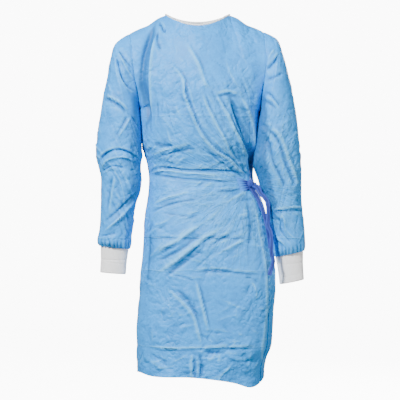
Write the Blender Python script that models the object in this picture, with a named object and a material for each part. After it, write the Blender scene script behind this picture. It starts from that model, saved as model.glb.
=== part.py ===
"""A wrap-around surgical gown, worn and filled out, with nobody in it.

Metres, +Z up. The gown faces -Y, +X is the wearer's left, and the origin lies between the shoulders.
Each piece of cloth is a closed wall round a surface worked out from the sizes below. Angles on the
body run from 0 at the front centre, through 90 at the wearer's left side and 180 at the back centre,
to 270 (or -90) at the wearer's right side. Levels run from 0 at the hem, through 1 at the armpits,
to 2 at the shoulder seams and the neck edge.
"""

import math
from collections import namedtuple

import bpy
import numpy as np

# Cloth
WALL = 0.0018
SEAM_GAP = 0.0003
SEAM_CLEAR = 0.0002
WRAP_LIFT = 0.0044
WRAP_LIFT_AT_NECK = 0.0056
WRAP_LIFT_ON_FRONT = 0.0062

# Columns and rows of the panels
FRONT_COLUMNS = 28
OUTER_COLUMNS = 24
INNER_COLUMNS = 14
ARMHOLE_STEPS = 12
Rows = namedtuple("Rows", "start end count")
PANEL_ROWS = (Rows(0.0, 0.62, 11), Rows(0.62, 0.80, 9), Rows(0.80, 1.0, 5))

# Neck and shoulders
NECK_HALF_WIDTH = 0.092
NECK_MIDDLE_Y = 0.008
NECK_FRONT_DEPTH = 0.079
NECK_BACK_DEPTH = 0.055
NECK_SIDE_HEIGHT = 0.0435
NECK_FRONT_HEIGHT = 0.0055
NECK_BACK_HEIGHT = 0.0265
NECK_SHARE = 0.5
NECK_MIDDLE = (0.0, 0.0, 0.0935)

Shoulder = namedtuple("Shoulder", "across height")
SHOULDER_LINE = (
    Shoulder(0.092, 0.0435),
    Shoulder(0.111, 0.0360),
    Shoulder(0.142, 0.0150),
    Shoulder(0.166, 0.0055),
    Shoulder(0.195, -0.0085),
)

# The armhole's edge on each side, from the armpit to the shoulder tip
Armhole = namedtuple("Armhole", "rise across")
ARMHOLES = {
    "right": (
        Armhole(0.00, -0.1645),
        Armhole(0.20, -0.1690),
        Armhole(0.40, -0.1770),
        Armhole(0.65, -0.1825),
        Armhole(0.85, -0.1870),
        Armhole(1.00, -0.1950),
    ),
    "left": (
        Armhole(0.00, 0.1780),
        Armhole(0.20, 0.1810),
        Armhole(0.40, 0.1870),
        Armhole(0.65, 0.1925),
        Armhole(0.85, 0.1890),
        Armhole(1.00, 0.1880),
    ),
}
ARMPIT_HEIGHT = {"right": -0.222, "left": -0.234}
TIP_HEIGHT = {"right": -0.0105, "left": -0.0050}
ARMHOLE_HALF_DEPTH = 0.072
ARMHOLE_ROUNDNESS = 2.2
RADIAL_FROM_RISE = (0.04, 0.30)

# How the cloth turns over the shoulders: a higher power turns later and more sharply
TURN_POWER_AT_NECK = 1.9
TURN_POWER_ON_SHOULDER = 3.0
TURN_ROUNDNESS_ON_SHOULDER = 0.35
RISE_POWER = 1.3
EDGE_WEIGHT_POWER = 1.6
EDGE_WEIGHT_AT_ARMPIT = 2.4
ARMPIT_EFFECT_ENDS = 0.30

# Level sections of the body from the armpits down
Section = namedtuple("Section", "height right left front back round corner")
BODY = (
    Section(-0.2150, -0.1640, 0.1785, -0.118, 0.112, 2.4, 2.4),
    Section(-0.2595, -0.1655, 0.1750, -0.119, 0.110, 2.4, 2.4),
    Section(-0.2965, -0.1615, 0.1730, -0.118, 0.107, 2.4, 2.4),
    Section(-0.3250, -0.1590, 0.1712, -0.115, 0.103, 2.4, 2.4),
    Section(-0.3550, -0.1510, 0.1605, -0.108, 0.098, 2.3, 2.4),
    Section(-0.3876, -0.1425, 0.1573, -0.100, 0.093, 2.3, 2.4),
    Section(-0.4200, -0.1385, 0.1550, -0.097, 0.091, 2.3, 2.5),
    Section(-0.4480, -0.1390, 0.1610, -0.101, 0.095, 2.4, 2.7),
    Section(-0.4845, -0.1428, 0.1770, -0.110, 0.104, 2.4, 3.1),
    Section(-0.5270, -0.1496, 0.1905, -0.118, 0.113, 2.5, 3.3),
    Section(-0.5700, -0.1525, 0.1965, -0.123, 0.120, 2.6, 3.4),
    Section(-0.6270, -0.1553, 0.2065, -0.127, 0.125, 2.6, 3.4),
    Section(-0.6840, -0.1610, 0.2150, -0.129, 0.128, 2.6, 3.4),
    Section(-0.7410, -0.1639, 0.2155, -0.130, 0.130, 2.6, 3.4),
    Section(-0.7980, -0.1696, 0.2110, -0.131, 0.131, 2.6, 3.3),
    Section(-0.8550, -0.1739, 0.2080, -0.131, 0.131, 2.6, 3.2),
    Section(-0.8980, -0.1724, 0.2040, -0.131, 0.131, 2.6, 3.0),
    Section(-0.9290, -0.1724, 0.1915, -0.130, 0.131, 2.6, 2.9),
    Section(-0.9580, -0.1724, 0.1845, -0.130, 0.131, 2.6, 2.8),
    Section(-1.0200, -0.1710, 0.1815, -0.130, 0.131, 2.6, 2.8),
)

# The hem's height round the body
Hem = namedtuple("Hem", "angle height")
HEM = (
    Hem(-90, -0.974),
    Hem(-62, -0.969),
    Hem(-45, -0.974),
    Hem(-5, -0.976),
    Hem(12, -0.981),
    Hem(32, -0.993),
    Hem(46, -1.006),
    Hem(60, -0.999),
    Hem(74, -0.984),
    Hem(100, -0.977),
    Hem(150, -0.979),
    Hem(200, -0.984),
    Hem(240, -0.978),
    Hem(270, -0.974),
)

# Where the two back panels end, by level
Edge = namedtuple("Edge", "level angle")
FREE_EDGE = (
    Edge(0.00, 64),
    Edge(0.12, 59),
    Edge(0.26, 56),
    Edge(0.40, 52),
    Edge(0.60, 53),
    Edge(0.66, 61),
    Edge(0.74, 76),
    Edge(0.86, 100),
    Edge(1.00, 128),
    Edge(1.60, 146),
    Edge(2.00, 150),
)
INNER_EDGE = (
    Edge(0.00, 214),
    Edge(0.70, 212),
    Edge(1.00, 205),
    Edge(2.00, 195),
)
LIFT_STARTS, LIFT_ENDS = 262.0, 226.0
NECK_LIFT_LEVELS = (1.65, 2.0)
FRONT_LIFT_ANGLES = (82, 62)
SIDE = 90.001

# Angles over which the skirt's left front corner comes and goes
CORNER_COMES = (-12, 14)
CORNER_GOES = (150, 95)

# How far a surface must face the front or the back, and lie from an edge, to take the folds there
FACING_TAKES_FOLDS = (0.05, 0.45)
CORNER_TAKES_FOLDS = (0.2, 0.6)
CORNER_BEHIND_Y, CORNER_BELOW_Z = -0.03, -0.45
HEM_TAKES_FOLDS = (0.0, 0.05)
TOP_TAKES_FOLDS = (2.0, 1.93)
SLEEVE_TAKES_FOLDS = (0.1, 0.5)
FOLD_ENDS_SHARE = 0.18
FOLD_LEFT_AT_ENDS = 0.25

# Folds, each along a line of points (across, height) seen from the front
Fold = namedtuple("Fold", "name line width depth")
FRONT_FOLDS = (
    Fold("hollow by the right armhole", ((-.141, -.011), (-.155, -.071), (-.163, -.143), (-.149, -.205),
                                         (-.147, -.296)), .016, -.010),
    Fold("ridge by the right armhole", ((-.112, -.010), (-.124, -.090), (-.128, -.200)), .016, .004),
    Fold("long drag line", ((-.067, -.097), (-.025, -.211), (.030, -.316), (.117, -.399), (.138, -.414)),
         .017, -.009),
    Fold("ridge of the drag line", ((-.044, -.114), (.000, -.228), (.052, -.316), (.125, -.392)), .015, .006),
    Fold("second drag line", ((.051, -.180), (.097, -.259), (.125, -.336), (.135, -.385)), .017, -.007),
    Fold("hollow above the knot", ((.093, -.191), (.126, -.275), (.134, -.340)), .024, -.009),
    Fold("chest ridge", ((-.025, -.037), (.016, -.117), (.030, -.180)), .015, .005),
    Fold("fold above the waist", ((-.117, -.362), (-.065, -.348), (-.005, -.336)), .014, -.006),
    Fold("upper waist fold", ((-.138, -.400), (-.107, -.390), (-.036, -.398), (.130, -.410)), .012, -.009),
    Fold("waist roll", ((-.137, -.410), (-.080, -.404), (.000, -.411), (.130, -.419)), .009, .004),
    Fold("lower waist fold", ((-.139, -.417), (-.087, -.420), (-.036, -.427), (.135, -.432)), .011, -.008),
    Fold("upper skirt ridge", ((-.107, -.621), (.004, -.561)), .022, .009),
    Fold("skirt hollow", ((-.087, -.678), (.016, -.607)), .021, -.009),
    Fold("lower skirt ridge", ((-.118, -.718), (.041, -.596)), .020, .009),
    Fold("packing crease, high", ((-.150, -.591), (.167, -.591)), .012, -.003),
    Fold("packing crease, low", ((-.148, -.901), (-.060, -.907), (.192, -.901)), .012, -.004),
    Fold("centre crease", ((-.005, -.708), (.020, -.809), (.036, -.861)), .015, .007),
    Fold("slanted crease", ((-.087, -.730), (-.005, -.821), (.010, -.892)), .015, -.007),
    Fold("hem fold", ((-.010, -.928), (-.013, -.995)), .018, -.008),
    Fold("skirt corner", ((.158, -.464), (.176, -.570), (.190, -.678), (.196, -.784), (.188, -.872),
                          (.181, -.930), (.168, -1.010)), .012, .004),
)
BACK_FOLDS = (
    Fold("upper waist fold", ((.140, -.402), (.060, -.394), (-.040, -.401), (-.136, -.398)), .012, -.006),
    Fold("lower waist fold", ((.135, -.430), (.040, -.424), (-.060, -.431), (-.136, -.424)), .012, -.006),
    Fold("left blade drag", ((.110, -.130), (.070, -.260), (.020, -.380)), .018, -.006),
    Fold("right blade drag", ((-.120, -.120), (-.085, -.250), (-.050, -.375)), .018, -.006),
    Fold("left skirt fall", ((.085, -.470), (.095, -.650), (.110, -.900)), .022, -.006),
    Fold("middle skirt fall", ((.010, -.460), (.000, -.700), (-.010, -.960)), .022, .006),
    Fold("right skirt fall", ((-.080, -.470), (-.092, -.700), (-.105, -.930)), .022, -.006),
    Fold("packing crease, high", ((-.150, -.591), (.167, -.591)), .010, -.003),
    Fold("packing crease, low", ((-.150, -.905), (.180, -.903)), .012, -.003),
)

# Sleeve rings from the armhole to the cuff, by their outer and inner sides seen from the front
Ring = namedtuple("Ring", "outer_x outer_z inner_x inner_z half_depth middle_y")
SLEEVES = {
    "right": (
        Ring(-0.1950, -0.0105, -0.1645, -0.2220, 0.072, 0.000),
        Ring(-0.2190, -0.0260, -0.1672, -0.2339, 0.072, -0.006),
        Ring(-0.2370, -0.0460, -0.1660, -0.2458, 0.071, -0.013),
        Ring(-0.2460, -0.0800, -0.1647, -0.2606, 0.070, -0.020),
        Ring(-0.2548, -0.1333, -0.1628, -0.2779, 0.068, -0.026),
        Ring(-0.2660, -0.1872, -0.1604, -0.2979, 0.066, -0.030),
        Ring(-0.2757, -0.2500, -0.1584, -0.3194, 0.064, -0.033),
        Ring(-0.2835, -0.3036, -0.1566, -0.3433, 0.062, -0.035),
        Ring(-0.2873, -0.3374, -0.1555, -0.3631, 0.061, -0.037),
        Ring(-0.2848, -0.3661, -0.1585, -0.3770, 0.058, -0.038),
        Ring(-0.2793, -0.3914, -0.1594, -0.3969, 0.056, -0.039),
        Ring(-0.2727, -0.4197, -0.1574, -0.4251, 0.055, -0.040),
        Ring(-0.2727, -0.4617, -0.1613, -0.4617, 0.053, -0.041),
        Ring(-0.2731, -0.5013, -0.1732, -0.4959, 0.050, -0.042),
        Ring(-0.2745, -0.5434, -0.1781, -0.5409, 0.047, -0.043),
        Ring(-0.2769, -0.5745, -0.1840, -0.5775, 0.044, -0.044),
        Ring(-0.2798, -0.5987, -0.1889, -0.6056, 0.041, -0.045),
        Ring(-0.2728, -0.6125, -0.1937, -0.6219, 0.030, -0.046),
    ),
    "left": (
        Ring(0.1880, -0.0050, 0.1780, -0.2340, 0.072, 0.000),
        Ring(0.2085, -0.0150, 0.1782, -0.2484, 0.072, -0.006),
        Ring(0.2280, -0.0300, 0.1764, -0.2607, 0.071, -0.013),
        Ring(0.2383, -0.0591, 0.1746, -0.2751, 0.070, -0.020),
        Ring(0.2504, -0.0995, 0.1734, -0.2913, 0.068, -0.026),
        Ring(0.2600, -0.1426, 0.1721, -0.3083, 0.066, -0.030),
        Ring(0.2707, -0.1934, 0.1708, -0.3253, 0.064, -0.033),
        Ring(0.2795, -0.2441, 0.1705, -0.3462, 0.062, -0.035),
        Ring(0.2848, -0.2928, 0.1699, -0.3661, 0.061, -0.037),
        Ring(0.2892, -0.3404, 0.1691, -0.3884, 0.059, -0.038),
        Ring(0.2926, -0.3914, 0.1713, -0.4196, 0.057, -0.039),
        Ring(0.2935, -0.4395, 0.1762, -0.4504, 0.055, -0.040),
        Ring(0.2937, -0.4815, 0.1881, -0.4815, 0.052, -0.041),
        Ring(0.2969, -0.5211, 0.1969, -0.5236, 0.049, -0.042),
        Ring(0.3007, -0.5552, 0.2038, -0.5632, 0.046, -0.043),
        Ring(0.3021, -0.5829, 0.2097, -0.5973, 0.043, -0.044),
        Ring(0.3006, -0.6071, 0.2141, -0.6239, 0.040, -0.045),
        Ring(0.2975, -0.6273, 0.2194, -0.6432, 0.030, -0.046),
    ),
}
CUFF_ENDS = {
    "right": Ring(-0.2742, -0.6880, -0.2018, -0.6935, 0.024, -0.049),
    "left": Ring(0.2998, -0.7083, 0.2312, -0.7216, 0.024, -0.049),
}
CUFF_TOP_HALF_DEPTH = 0.028
CUFF_ROWS = 3
CUFF_GAP = 0.0007
LOOP_FADES_OVER = 5
SLEEVE_FOLDS = {
    "right": (
        Fold("drag from the shoulder", ((-.236, -.071), (-.219, -.122), (-.194, -.160), (-.178, -.168)),
             .011, -.007),
        Fold("upper arm crease", ((-.265, -.182), (-.219, -.219), (-.196, -.242), (-.165, -.279)), .010, -.005),
        Fold("elbow fold", ((-.282, -.384), (-.268, -.353), (-.235, -.339), (-.195, -.348), (-.166, -.373)),
             .011, -.009),
        Fold("forearm ridge", ((-.179, -.481), (-.222, -.536), (-.265, -.575)), .012, .005),
        Fold("forearm hollow", ((-.235, -.413), (-.252, -.484), (-.259, -.544)), .012, -.004),
    ),
    "left": (
        Fold("drag from the shoulder", ((.236, -.060), (.215, -.090), (.196, -.115)), .010, -.007),
        Fold("second drag", ((.201, -.141), (.249, -.120)), .010, -.004),
        Fold("elbow step", ((.180, -.272), (.229, -.277), (.255, -.353), (.282, -.430)), .013, -.006),
        Fold("forearm fold", ((.220, -.516), (.255, -.510), (.292, -.510)), .011, -.005),
        Fold("curved fold", ((.217, -.536), (.235, -.567), (.269, -.602)), .011, -.004),
        Fold("low ridge", ((.215, -.580), (.255, -.618)), .010, .004),
    ),
}

# Neck binding, the folded strip that finishes the cloth's edge and stands above it
BINDING_THICK = 0.0030
BINDING_HEIGHT = 0.0055

# Neck tab between the back panels
TAB_WALL = 0.0016
TAB_CLEAR = 0.0008
TAB_SHOWS = 7.0
TAB_HIDDEN = 16.0
TAB_TOP_LEVEL, TAB_LOW_LEVEL = 1.955, 1.860
TAB_ROWS, TAB_COLUMNS = 3, 8

# Waist ties
TIE_WIDTH = 0.012
TIE_WALL = 0.0014
TIE_HEIGHT = -0.4425
KNOT_ANGLE = 55.0
KNOT_LIFT = 0.0096
KNOT_HALF = (0.0095, 0.0068, 0.0110)
KNOT_RINGS, KNOT_SIDES = 8, 12
KNOT_LUMPS, KNOT_SLANT, KNOT_LUMP_HEIGHT = 3, 2, 0.10
STRETCH_STEPS = 8

# The tie's two stretches on the body: angles and half widths of their start and end, and their lift
Stretch = namedtuple("Stretch", "start end start_half end_half lift")
FRONT_STRETCH = Stretch(40.0, 54.5, 0.014, 0.008, 0.0007)
WRAP_STRETCH = Stretch(59.3, 82.0, 0.006, 0.006, WRAP_LIFT_ON_FRONT + 0.0002)

# The two tails: how far their width turns from the picture plane at the start and at the end
Turns = namedtuple("Turns", "start end stations")
LONG_TURNS = Turns(35, 8, 18)
SHORT_TURNS = Turns(20, 10, 14)
Point = namedtuple("Point", "x y z")
LONG_TAIL = (
    Point(.1566, -.0700, -.4425),
    Point(.1680, -.0740, -.4500),
    Point(.1755, -.0780, -.4645),
    Point(.1860, -.0810, -.4760),
    Point(.1950, -.0830, -.4900),
    Point(.1970, -.0860, -.5130),
    Point(.1970, -.0900, -.5360),
    Point(.1960, -.0950, -.5560),
    Point(.2030, -.1000, -.5730),
    Point(.2055, -.1060, -.6070),
    Point(.2055, -.1090, -.6355),
    Point(.2105, -.1110, -.6525),
    Point(.2035, -.1130, -.6780),
    Point(.1990, -.1150, -.6925),
)
SHORT_TAIL = (
    Point(.1508, -.0705, -.4505),
    Point(.1570, -.0740, -.4620),
    Point(.1665, -.0760, -.4760),
    Point(.1755, -.0790, -.4960),
    Point(.1880, -.0850, -.5320),
    Point(.1930, -.0900, -.5530),
    Point(.1990, -.0960, -.5870),
    Point(.2025, -.1010, -.6185),
)

# Finishes: colour, roughness
CLOTH = ("gown_cloth", (0.30, 0.57, 0.86, 1.0), 0.72)
KNIT = ("cuff_knit", (0.83, 0.85, 0.87, 1.0), 0.90)
BINDING = ("neck_strip", (0.82, 0.85, 0.88, 1.0), 0.80)
TIE_CLOTH = ("tie_cloth", (0.13, 0.25, 0.68, 1.0), 0.75)


def smooth_read(keys, values, at):
    """A smooth curve through (key, value), with each point's slope the mean of its neighbours'."""
    keys = np.asarray(keys, float)
    values = np.asarray(values, float)
    slopes = np.gradient(values, keys)
    at = np.clip(at, keys[0], keys[-1])
    i = np.clip(np.searchsorted(keys, at) - 1, 0, len(keys) - 2)
    step = keys[i + 1] - keys[i]
    f = (at - keys[i]) / step
    rise = f * f * (3 - 2 * f)
    start = f * (1 - f) ** 2
    end = f * f * (f - 1)
    return values[i] * (1 - rise) + values[i + 1] * rise + step * (slopes[i] * start + slopes[i + 1] * end)


def read(table, key, column, at):
    """One column of a table, read smoothly at any value of its key column."""
    rows = sorted(table, key=lambda row: getattr(row, key))
    return smooth_read([getattr(r, key) for r in rows], [getattr(r, column) for r in rows], at)


def ease(low, high, at):
    """0 below low, 1 above high, smooth between; low may be the larger."""
    f = np.clip((np.asarray(at, float) - low) / (high - low), 0, 1)
    return f * f * (3 - 2 * f)


def unit(vectors):
    return vectors / np.maximum(np.linalg.norm(vectors, axis=-1, keepdims=True), 1e-12)


def squareness(angle, height):
    """The superellipse's power, which is larger at the skirt's left front corner."""
    plain = read(BODY, "height", "round", height)
    corner = read(BODY, "height", "corner", height)
    turn = np.mod(angle + 180, 360) - 180
    near = ease(*CORNER_COMES, turn) * ease(*CORNER_GOES, turn)
    return plain + (corner - plain) * near


def unit_ring(angle, height):
    """A unit superellipse: (across, towards the front) at an angle from the front centre."""
    a = np.radians(angle)
    s, c = np.sin(a), np.cos(a)
    n = squareness(angle, height)
    radius = (np.abs(s) ** n + np.abs(c) ** n) ** (-1 / n)
    return radius * s, radius * c


def lower_body(angle, level):
    """Rings between the hem, level 0, and the armpits, level 1."""
    hem = read(HEM, "angle", "height", np.where(angle > 270, angle - 360, angle))
    side = (1 + np.sin(np.radians(angle))) / 2
    armpit = ARMPIT_HEIGHT["right"] + (ARMPIT_HEIGHT["left"] - ARMPIT_HEIGHT["right"]) * side
    z = hem + (armpit - hem) * level
    across, ahead = unit_ring(angle, z)
    right = read(BODY, "height", "right", z)
    left = read(BODY, "height", "left", z)
    front = read(BODY, "height", "front", z)
    back = read(BODY, "height", "back", z)
    x = (right + left) / 2 + (left - right) / 2 * across
    y = np.where(ahead > 0, front * ahead, -back * ahead)
    return np.stack([x, y, z], axis=-1)


def armhole_half(rise):
    """How far the armhole's edge stands from its middle, front or back: a rounded loop."""
    return ARMHOLE_HALF_DEPTH * (1 - np.abs(2 * rise - 1) ** ARMHOLE_ROUNDNESS) ** 0.5


def armhole_point(side, rise, towards):
    """A point of the armhole's edge; towards is -1 for its front half and 1 for its back half."""
    x = read(ARMHOLES[side], "rise", "across", rise)
    y = NECK_MIDDLE_Y * rise + towards * armhole_half(rise)
    z = ARMPIT_HEIGHT[side] + (TIP_HEIGHT[side] - ARMPIT_HEIGHT[side]) * rise
    return np.stack([x, y, z], axis=-1)


def top_edge(share, back):
    """The shoulder seams and the neck edge: share is -1 to 1 from the right tip to the left tip."""
    size = np.abs(share)
    sign = np.sign(share)
    turn = np.clip(size / NECK_SHARE, 0, 1) * math.pi / 2
    low = np.where(back, NECK_BACK_HEIGHT, NECK_FRONT_HEIGHT)
    depth = np.where(back, NECK_BACK_DEPTH, -NECK_FRONT_DEPTH)
    neck_x = NECK_HALF_WIDTH * np.sin(turn) * sign
    neck_y = NECK_MIDDLE_Y + depth * np.cos(turn)
    neck_z = NECK_SIDE_HEIGHT + (low - NECK_SIDE_HEIGHT) * np.cos(turn) ** 2
    out = np.clip((size - NECK_SHARE) / (1 - NECK_SHARE), 0, 1)
    tip = np.where(share > 0, ARMHOLES["left"][-1].across, -ARMHOLES["right"][-1].across)
    across = NECK_HALF_WIDTH + (tip - NECK_HALF_WIDTH) * out
    shoulder_z = read(SHOULDER_LINE, "across", "height", across)
    end = np.where(share > 0, TIP_HEIGHT["left"], TIP_HEIGHT["right"])
    shoulder_z = shoulder_z + (end - read(SHOULDER_LINE, "across", "height", tip)) * out
    on_neck = size <= NECK_SHARE
    x = np.where(on_neck, neck_x, across * sign)
    y = np.where(on_neck, neck_y, NECK_MIDDLE_Y)
    z = np.where(on_neck, neck_z, shoulder_z)
    return x, y, z


def upper_body(angle, rise):
    """Rows between the armpits, rise 0, and the shoulder and neck edge, rise 1.

    Each row runs from one armhole edge to the other. Each column goes up from the chest ring and
    turns back over the shoulder, more sharply the nearer it is to the shoulder tip.
    """
    back = angle > 90
    share = np.where(back, 180 - angle, angle) / 90
    side = (1 + np.sin(np.radians(angle))) / 2
    right = armhole_point("right", rise, -1)
    left = armhole_point("left", rise, -1)
    across, ahead = unit_ring(angle, np.full(np.shape(angle), BODY[0].height))
    top_x, top_y, top_z = top_edge(share, back)
    tip_left = ARMHOLES["left"][-1].across
    tip_right = ARMHOLES["right"][-1].across
    top_across = (top_x - (tip_left + tip_right) / 2) / ((tip_left - tip_right) / 2)
    blend = ease(0, 1, rise) * rise ** 0.5
    spread = across + (top_across - across) * blend
    x = (right[..., 0] + left[..., 0]) / 2 + (left[..., 0] - right[..., 0]) / 2 * spread
    tips = TIP_HEIGHT["right"] + (TIP_HEIGHT["left"] - TIP_HEIGHT["right"]) * side
    level_z = right[..., 2] + (left[..., 2] - right[..., 2]) * side
    z = level_z + (top_z - tips) * rise ** RISE_POWER
    on_shoulder = ease(NECK_SHARE * 0.55, NECK_SHARE * 1.25, np.abs(share))
    power = TURN_POWER_AT_NECK + (TURN_POWER_ON_SHOULDER - TURN_POWER_AT_NECK) * on_shoulder
    turn = 1.0 / (1.0 + TURN_ROUNDNESS_ON_SHOULDER * on_shoulder)
    left_over = np.clip(1 - rise ** power, 0, 1) ** turn
    chest = np.where(back, BODY[0].back, BODY[0].front)
    column_y = top_y + (chest - top_y) * left_over
    edge_y = NECK_MIDDLE_Y * rise + np.where(back, 1, -1) * armhole_half(rise)
    inside = np.abs(ahead)
    local = ease(ARMPIT_EFFECT_ENDS, 0, rise)
    edge_power = EDGE_WEIGHT_POWER + (EDGE_WEIGHT_AT_ARMPIT - EDGE_WEIGHT_POWER) * local
    y = edge_y * (1 - inside) ** edge_power + column_y * inside
    return np.stack([x, y, z], axis=-1)


def smooth_body(angle, level):
    """The body's surface without its folds."""
    angle, level = np.broadcast_arrays(np.asarray(angle, float), np.asarray(level, float))
    low = lower_body(angle, np.clip(level, 0, 1))
    high = upper_body(angle, np.clip(level - 1, 0, 1))
    return np.where(level[..., None] <= 1, low, high)


def fold_height(x, z, folds):
    """The folds' height at (x, z): each is a soft bell across its line that fades out at both ends."""
    total = np.zeros(np.shape(x))
    for fold in folds:
        line = np.array(fold.line)
        lengths = np.linalg.norm(np.diff(line, axis=0), axis=1)
        ran = np.concatenate([[0], np.cumsum(lengths)])
        nearest = np.full(np.shape(x), np.inf)
        along = np.zeros(np.shape(x))
        for i, length in enumerate(lengths):
            run = (line[i + 1] - line[i]) / length
            t = np.clip((x - line[i, 0]) * run[0] + (z - line[i, 1]) * run[1], 0, length)
            away = np.hypot(x - line[i, 0] - run[0] * t, z - line[i, 1] - run[1] * t)
            closer = away < nearest
            nearest = np.where(closer, away, nearest)
            along = np.where(closer, ran[i] + t, along)
        share = along / ran[-1]
        inside = ease(0, FOLD_ENDS_SHARE, share) * ease(1, 1 - FOLD_ENDS_SHARE, share)
        full = FOLD_LEFT_AT_ENDS + (1 - FOLD_LEFT_AT_ENDS) * inside
        total += fold.depth * np.exp(-((nearest / fold.width) ** 2)) * full
    return total


def grid_normals(points, closed=False):
    """Normals of a grid of rows and columns, by the cross product of its two directions."""
    up = np.gradient(points, axis=0)
    if closed:
        round_ = (np.roll(points, -1, axis=1) - np.roll(points, 1, axis=1)) / 2
    else:
        round_ = np.gradient(points, axis=1)
    return unit(np.cross(round_, up))


def body_surface(angle, level):
    """The body's surface with its folds, and its outward normals, on a grid of levels and angles."""
    points = smooth_body(angle, level)
    normals = grid_normals(points)
    ahead = ease(*FACING_TAKES_FOLDS, -normals[..., 1])
    behind = ease(*FACING_TAKES_FOLDS, normals[..., 1])
    low_front = (points[..., 1] < CORNER_BEHIND_Y) & (points[..., 2] < CORNER_BELOW_Z)
    ahead = np.maximum(ahead, ease(*CORNER_TAKES_FOLDS, normals[..., 0]) * low_front)
    lift = ahead * fold_height(points[..., 0], points[..., 2], FRONT_FOLDS)
    lift += behind * fold_height(points[..., 0], points[..., 2], BACK_FOLDS)
    edge = ease(*HEM_TAKES_FOLDS, level) * ease(*TOP_TAKES_FOLDS, level)
    return points + normals * (lift * edge)[..., None], normals


def wrap_lift(angle, level):
    """How far the outer back panel lies outside the inner one."""
    at_neck = ease(*NECK_LIFT_LEVELS, level)
    lift = WRAP_LIFT + (WRAP_LIFT_AT_NECK - WRAP_LIFT) * at_neck
    lift = lift + (WRAP_LIFT_ON_FRONT - WRAP_LIFT) * ease(*FRONT_LIFT_ANGLES, angle)
    return lift * ease(LIFT_STARTS, LIFT_ENDS, angle)


def panel_levels():
    """Rows from the hem to the shoulders, close together at the waist and round the armholes."""
    rows = [np.linspace(rows.start, rows.end, rows.count + 1)[1:] for rows in PANEL_ROWS]
    steps = np.arange(1, ARMHOLE_STEPS + 1) / ARMHOLE_STEPS
    yoke = 1 + (1 - np.cos(math.pi * steps)) / 2
    return np.concatenate([[0.0], *rows, yoke])


def pull_in(points, axis, end, amount):
    """Moves one edge of a grid along the surface, away from the seam."""
    grid = np.moveaxis(points, axis, 0)
    last, before = (0, 1) if end == "start" else (-1, -2)
    grid[last] += unit(grid[before] - grid[last]) * amount


def flatten(normals, rows, columns, axis):
    """Takes one direction out of some normals, so that two pieces' edges face each other squarely."""
    part = normals[rows, columns].copy()
    part[..., axis] = 0
    normals[rows, columns] = unit(part)


def armhole_normals(normals, rises, side, towards):
    """Edge normals at an armhole, which turn to the loop's own radius away from the armpit."""
    loop = armhole_point(side, rises, towards)
    run = np.gradient(loop, axis=0)
    radial = unit(np.stack([np.zeros(len(rises)), towards * run[:, 2], -towards * run[:, 1]], axis=-1))
    share = ease(*RADIAL_FROM_RISE, rises)[:, None]
    return unit(normals * (1 - share) + radial * share)


def finish_panel(points, normals, levels, side_columns, shoulder_columns):
    """Squares a panel's edges at its side seams, armholes and shoulder seams, and opens the seam gaps."""
    low = np.flatnonzero(levels <= 1)
    high = np.flatnonzero(levels > 1)
    for column, side, towards in side_columns:
        flatten(normals, low, column, 1)
        normals[high, column] = armhole_normals(normals[high, column], levels[high] - 1, side, towards)
        pull_in(points, 1, "start" if column == 0 else "end", (SEAM_GAP + SEAM_CLEAR) / 2)
    before = points[-2, shoulder_columns] - points[-1, shoulder_columns]
    points[-1, shoulder_columns] += unit(before) * (SEAM_GAP + SEAM_CLEAR) / 2
    flatten(normals, -1, shoulder_columns, 1)


def material(finish):
    name, colour, roughness = finish
    made = bpy.data.materials.get(name) or bpy.data.materials.new(name)
    made.use_nodes = True
    shader = made.node_tree.nodes["Principled BSDF"]
    shader.inputs["Base Color"].default_value = colour
    shader.inputs["Roughness"].default_value = roughness
    shader.inputs["Metallic"].default_value = 0.0
    return made


def add_mesh(name, vertices, faces, finish):
    """A mesh object with its faces turned outwards, by the sign of its volume."""
    mesh = bpy.data.meshes.new(name)
    mesh.from_pydata([tuple(v) for v in vertices], [], [tuple(f) for f in faces])
    corners = np.array(vertices)
    volume = 0.0
    for face in faces:
        a = corners[face[0]]
        for i in range(1, len(face) - 1):
            volume += float(np.dot(a, np.cross(corners[face[i]], corners[face[i + 1]])))
    if volume < 0:
        mesh.flip_normals()
    mesh.materials.append(material(finish))
    mesh.shade_smooth()
    mesh.set_sharp_from_angle(angle=math.radians(40))
    made = bpy.data.objects.new(name, mesh)
    bpy.context.scene.collection.objects.link(made)
    return made


def cloth_wall(name, outer, normals, finish, closed=False, wall=WALL):
    """A closed wall: the outer grid, the same grid moved in by the wall, and rims round the edges."""
    rows, columns = outer.shape[:2]
    inner = outer - normals * wall
    vertices = np.concatenate([outer.reshape(-1, 3), inner.reshape(-1, 3)])
    index = np.arange(rows * columns).reshape(rows, columns)
    wide = np.concatenate([index, index[:, :1]], axis=1) if closed else index
    inside = rows * columns
    faces = []
    for r in range(rows - 1):
        for c in range(wide.shape[1] - 1):
            quad = (wide[r, c], wide[r, c + 1], wide[r + 1, c + 1], wide[r + 1, c])
            faces.append(quad)
            faces.append(tuple(v + inside for v in reversed(quad)))
    rims = [list(wide[0][::-1]), list(wide[-1])]
    if not closed:
        rims += [list(index[:, 0]), list(index[::-1, -1])]
    for rim in rims:
        for a, b in zip(rim, rim[1:]):
            faces.append((a, b, b + inside, a + inside))
    return add_mesh(name, vertices, faces, finish)


def front_panel():
    levels = panel_levels()
    angles = np.linspace(-90, 90, FRONT_COLUMNS + 1)
    points, normals = body_surface(angles[None, :], levels[:, None])
    edge = int(FRONT_COLUMNS / 2 * (1 - NECK_SHARE))
    neck = slice(edge, FRONT_COLUMNS - edge + 1)
    shoulders = [c for c in range(FRONT_COLUMNS + 1) if c <= edge or c >= FRONT_COLUMNS - edge]
    finish_panel(points, normals, levels, [(0, "right", -1), (-1, "left", -1)], shoulders)
    cloth_wall("front", points, normals, CLOTH)
    return points[-1, neck], normals[-1, neck]


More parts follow.
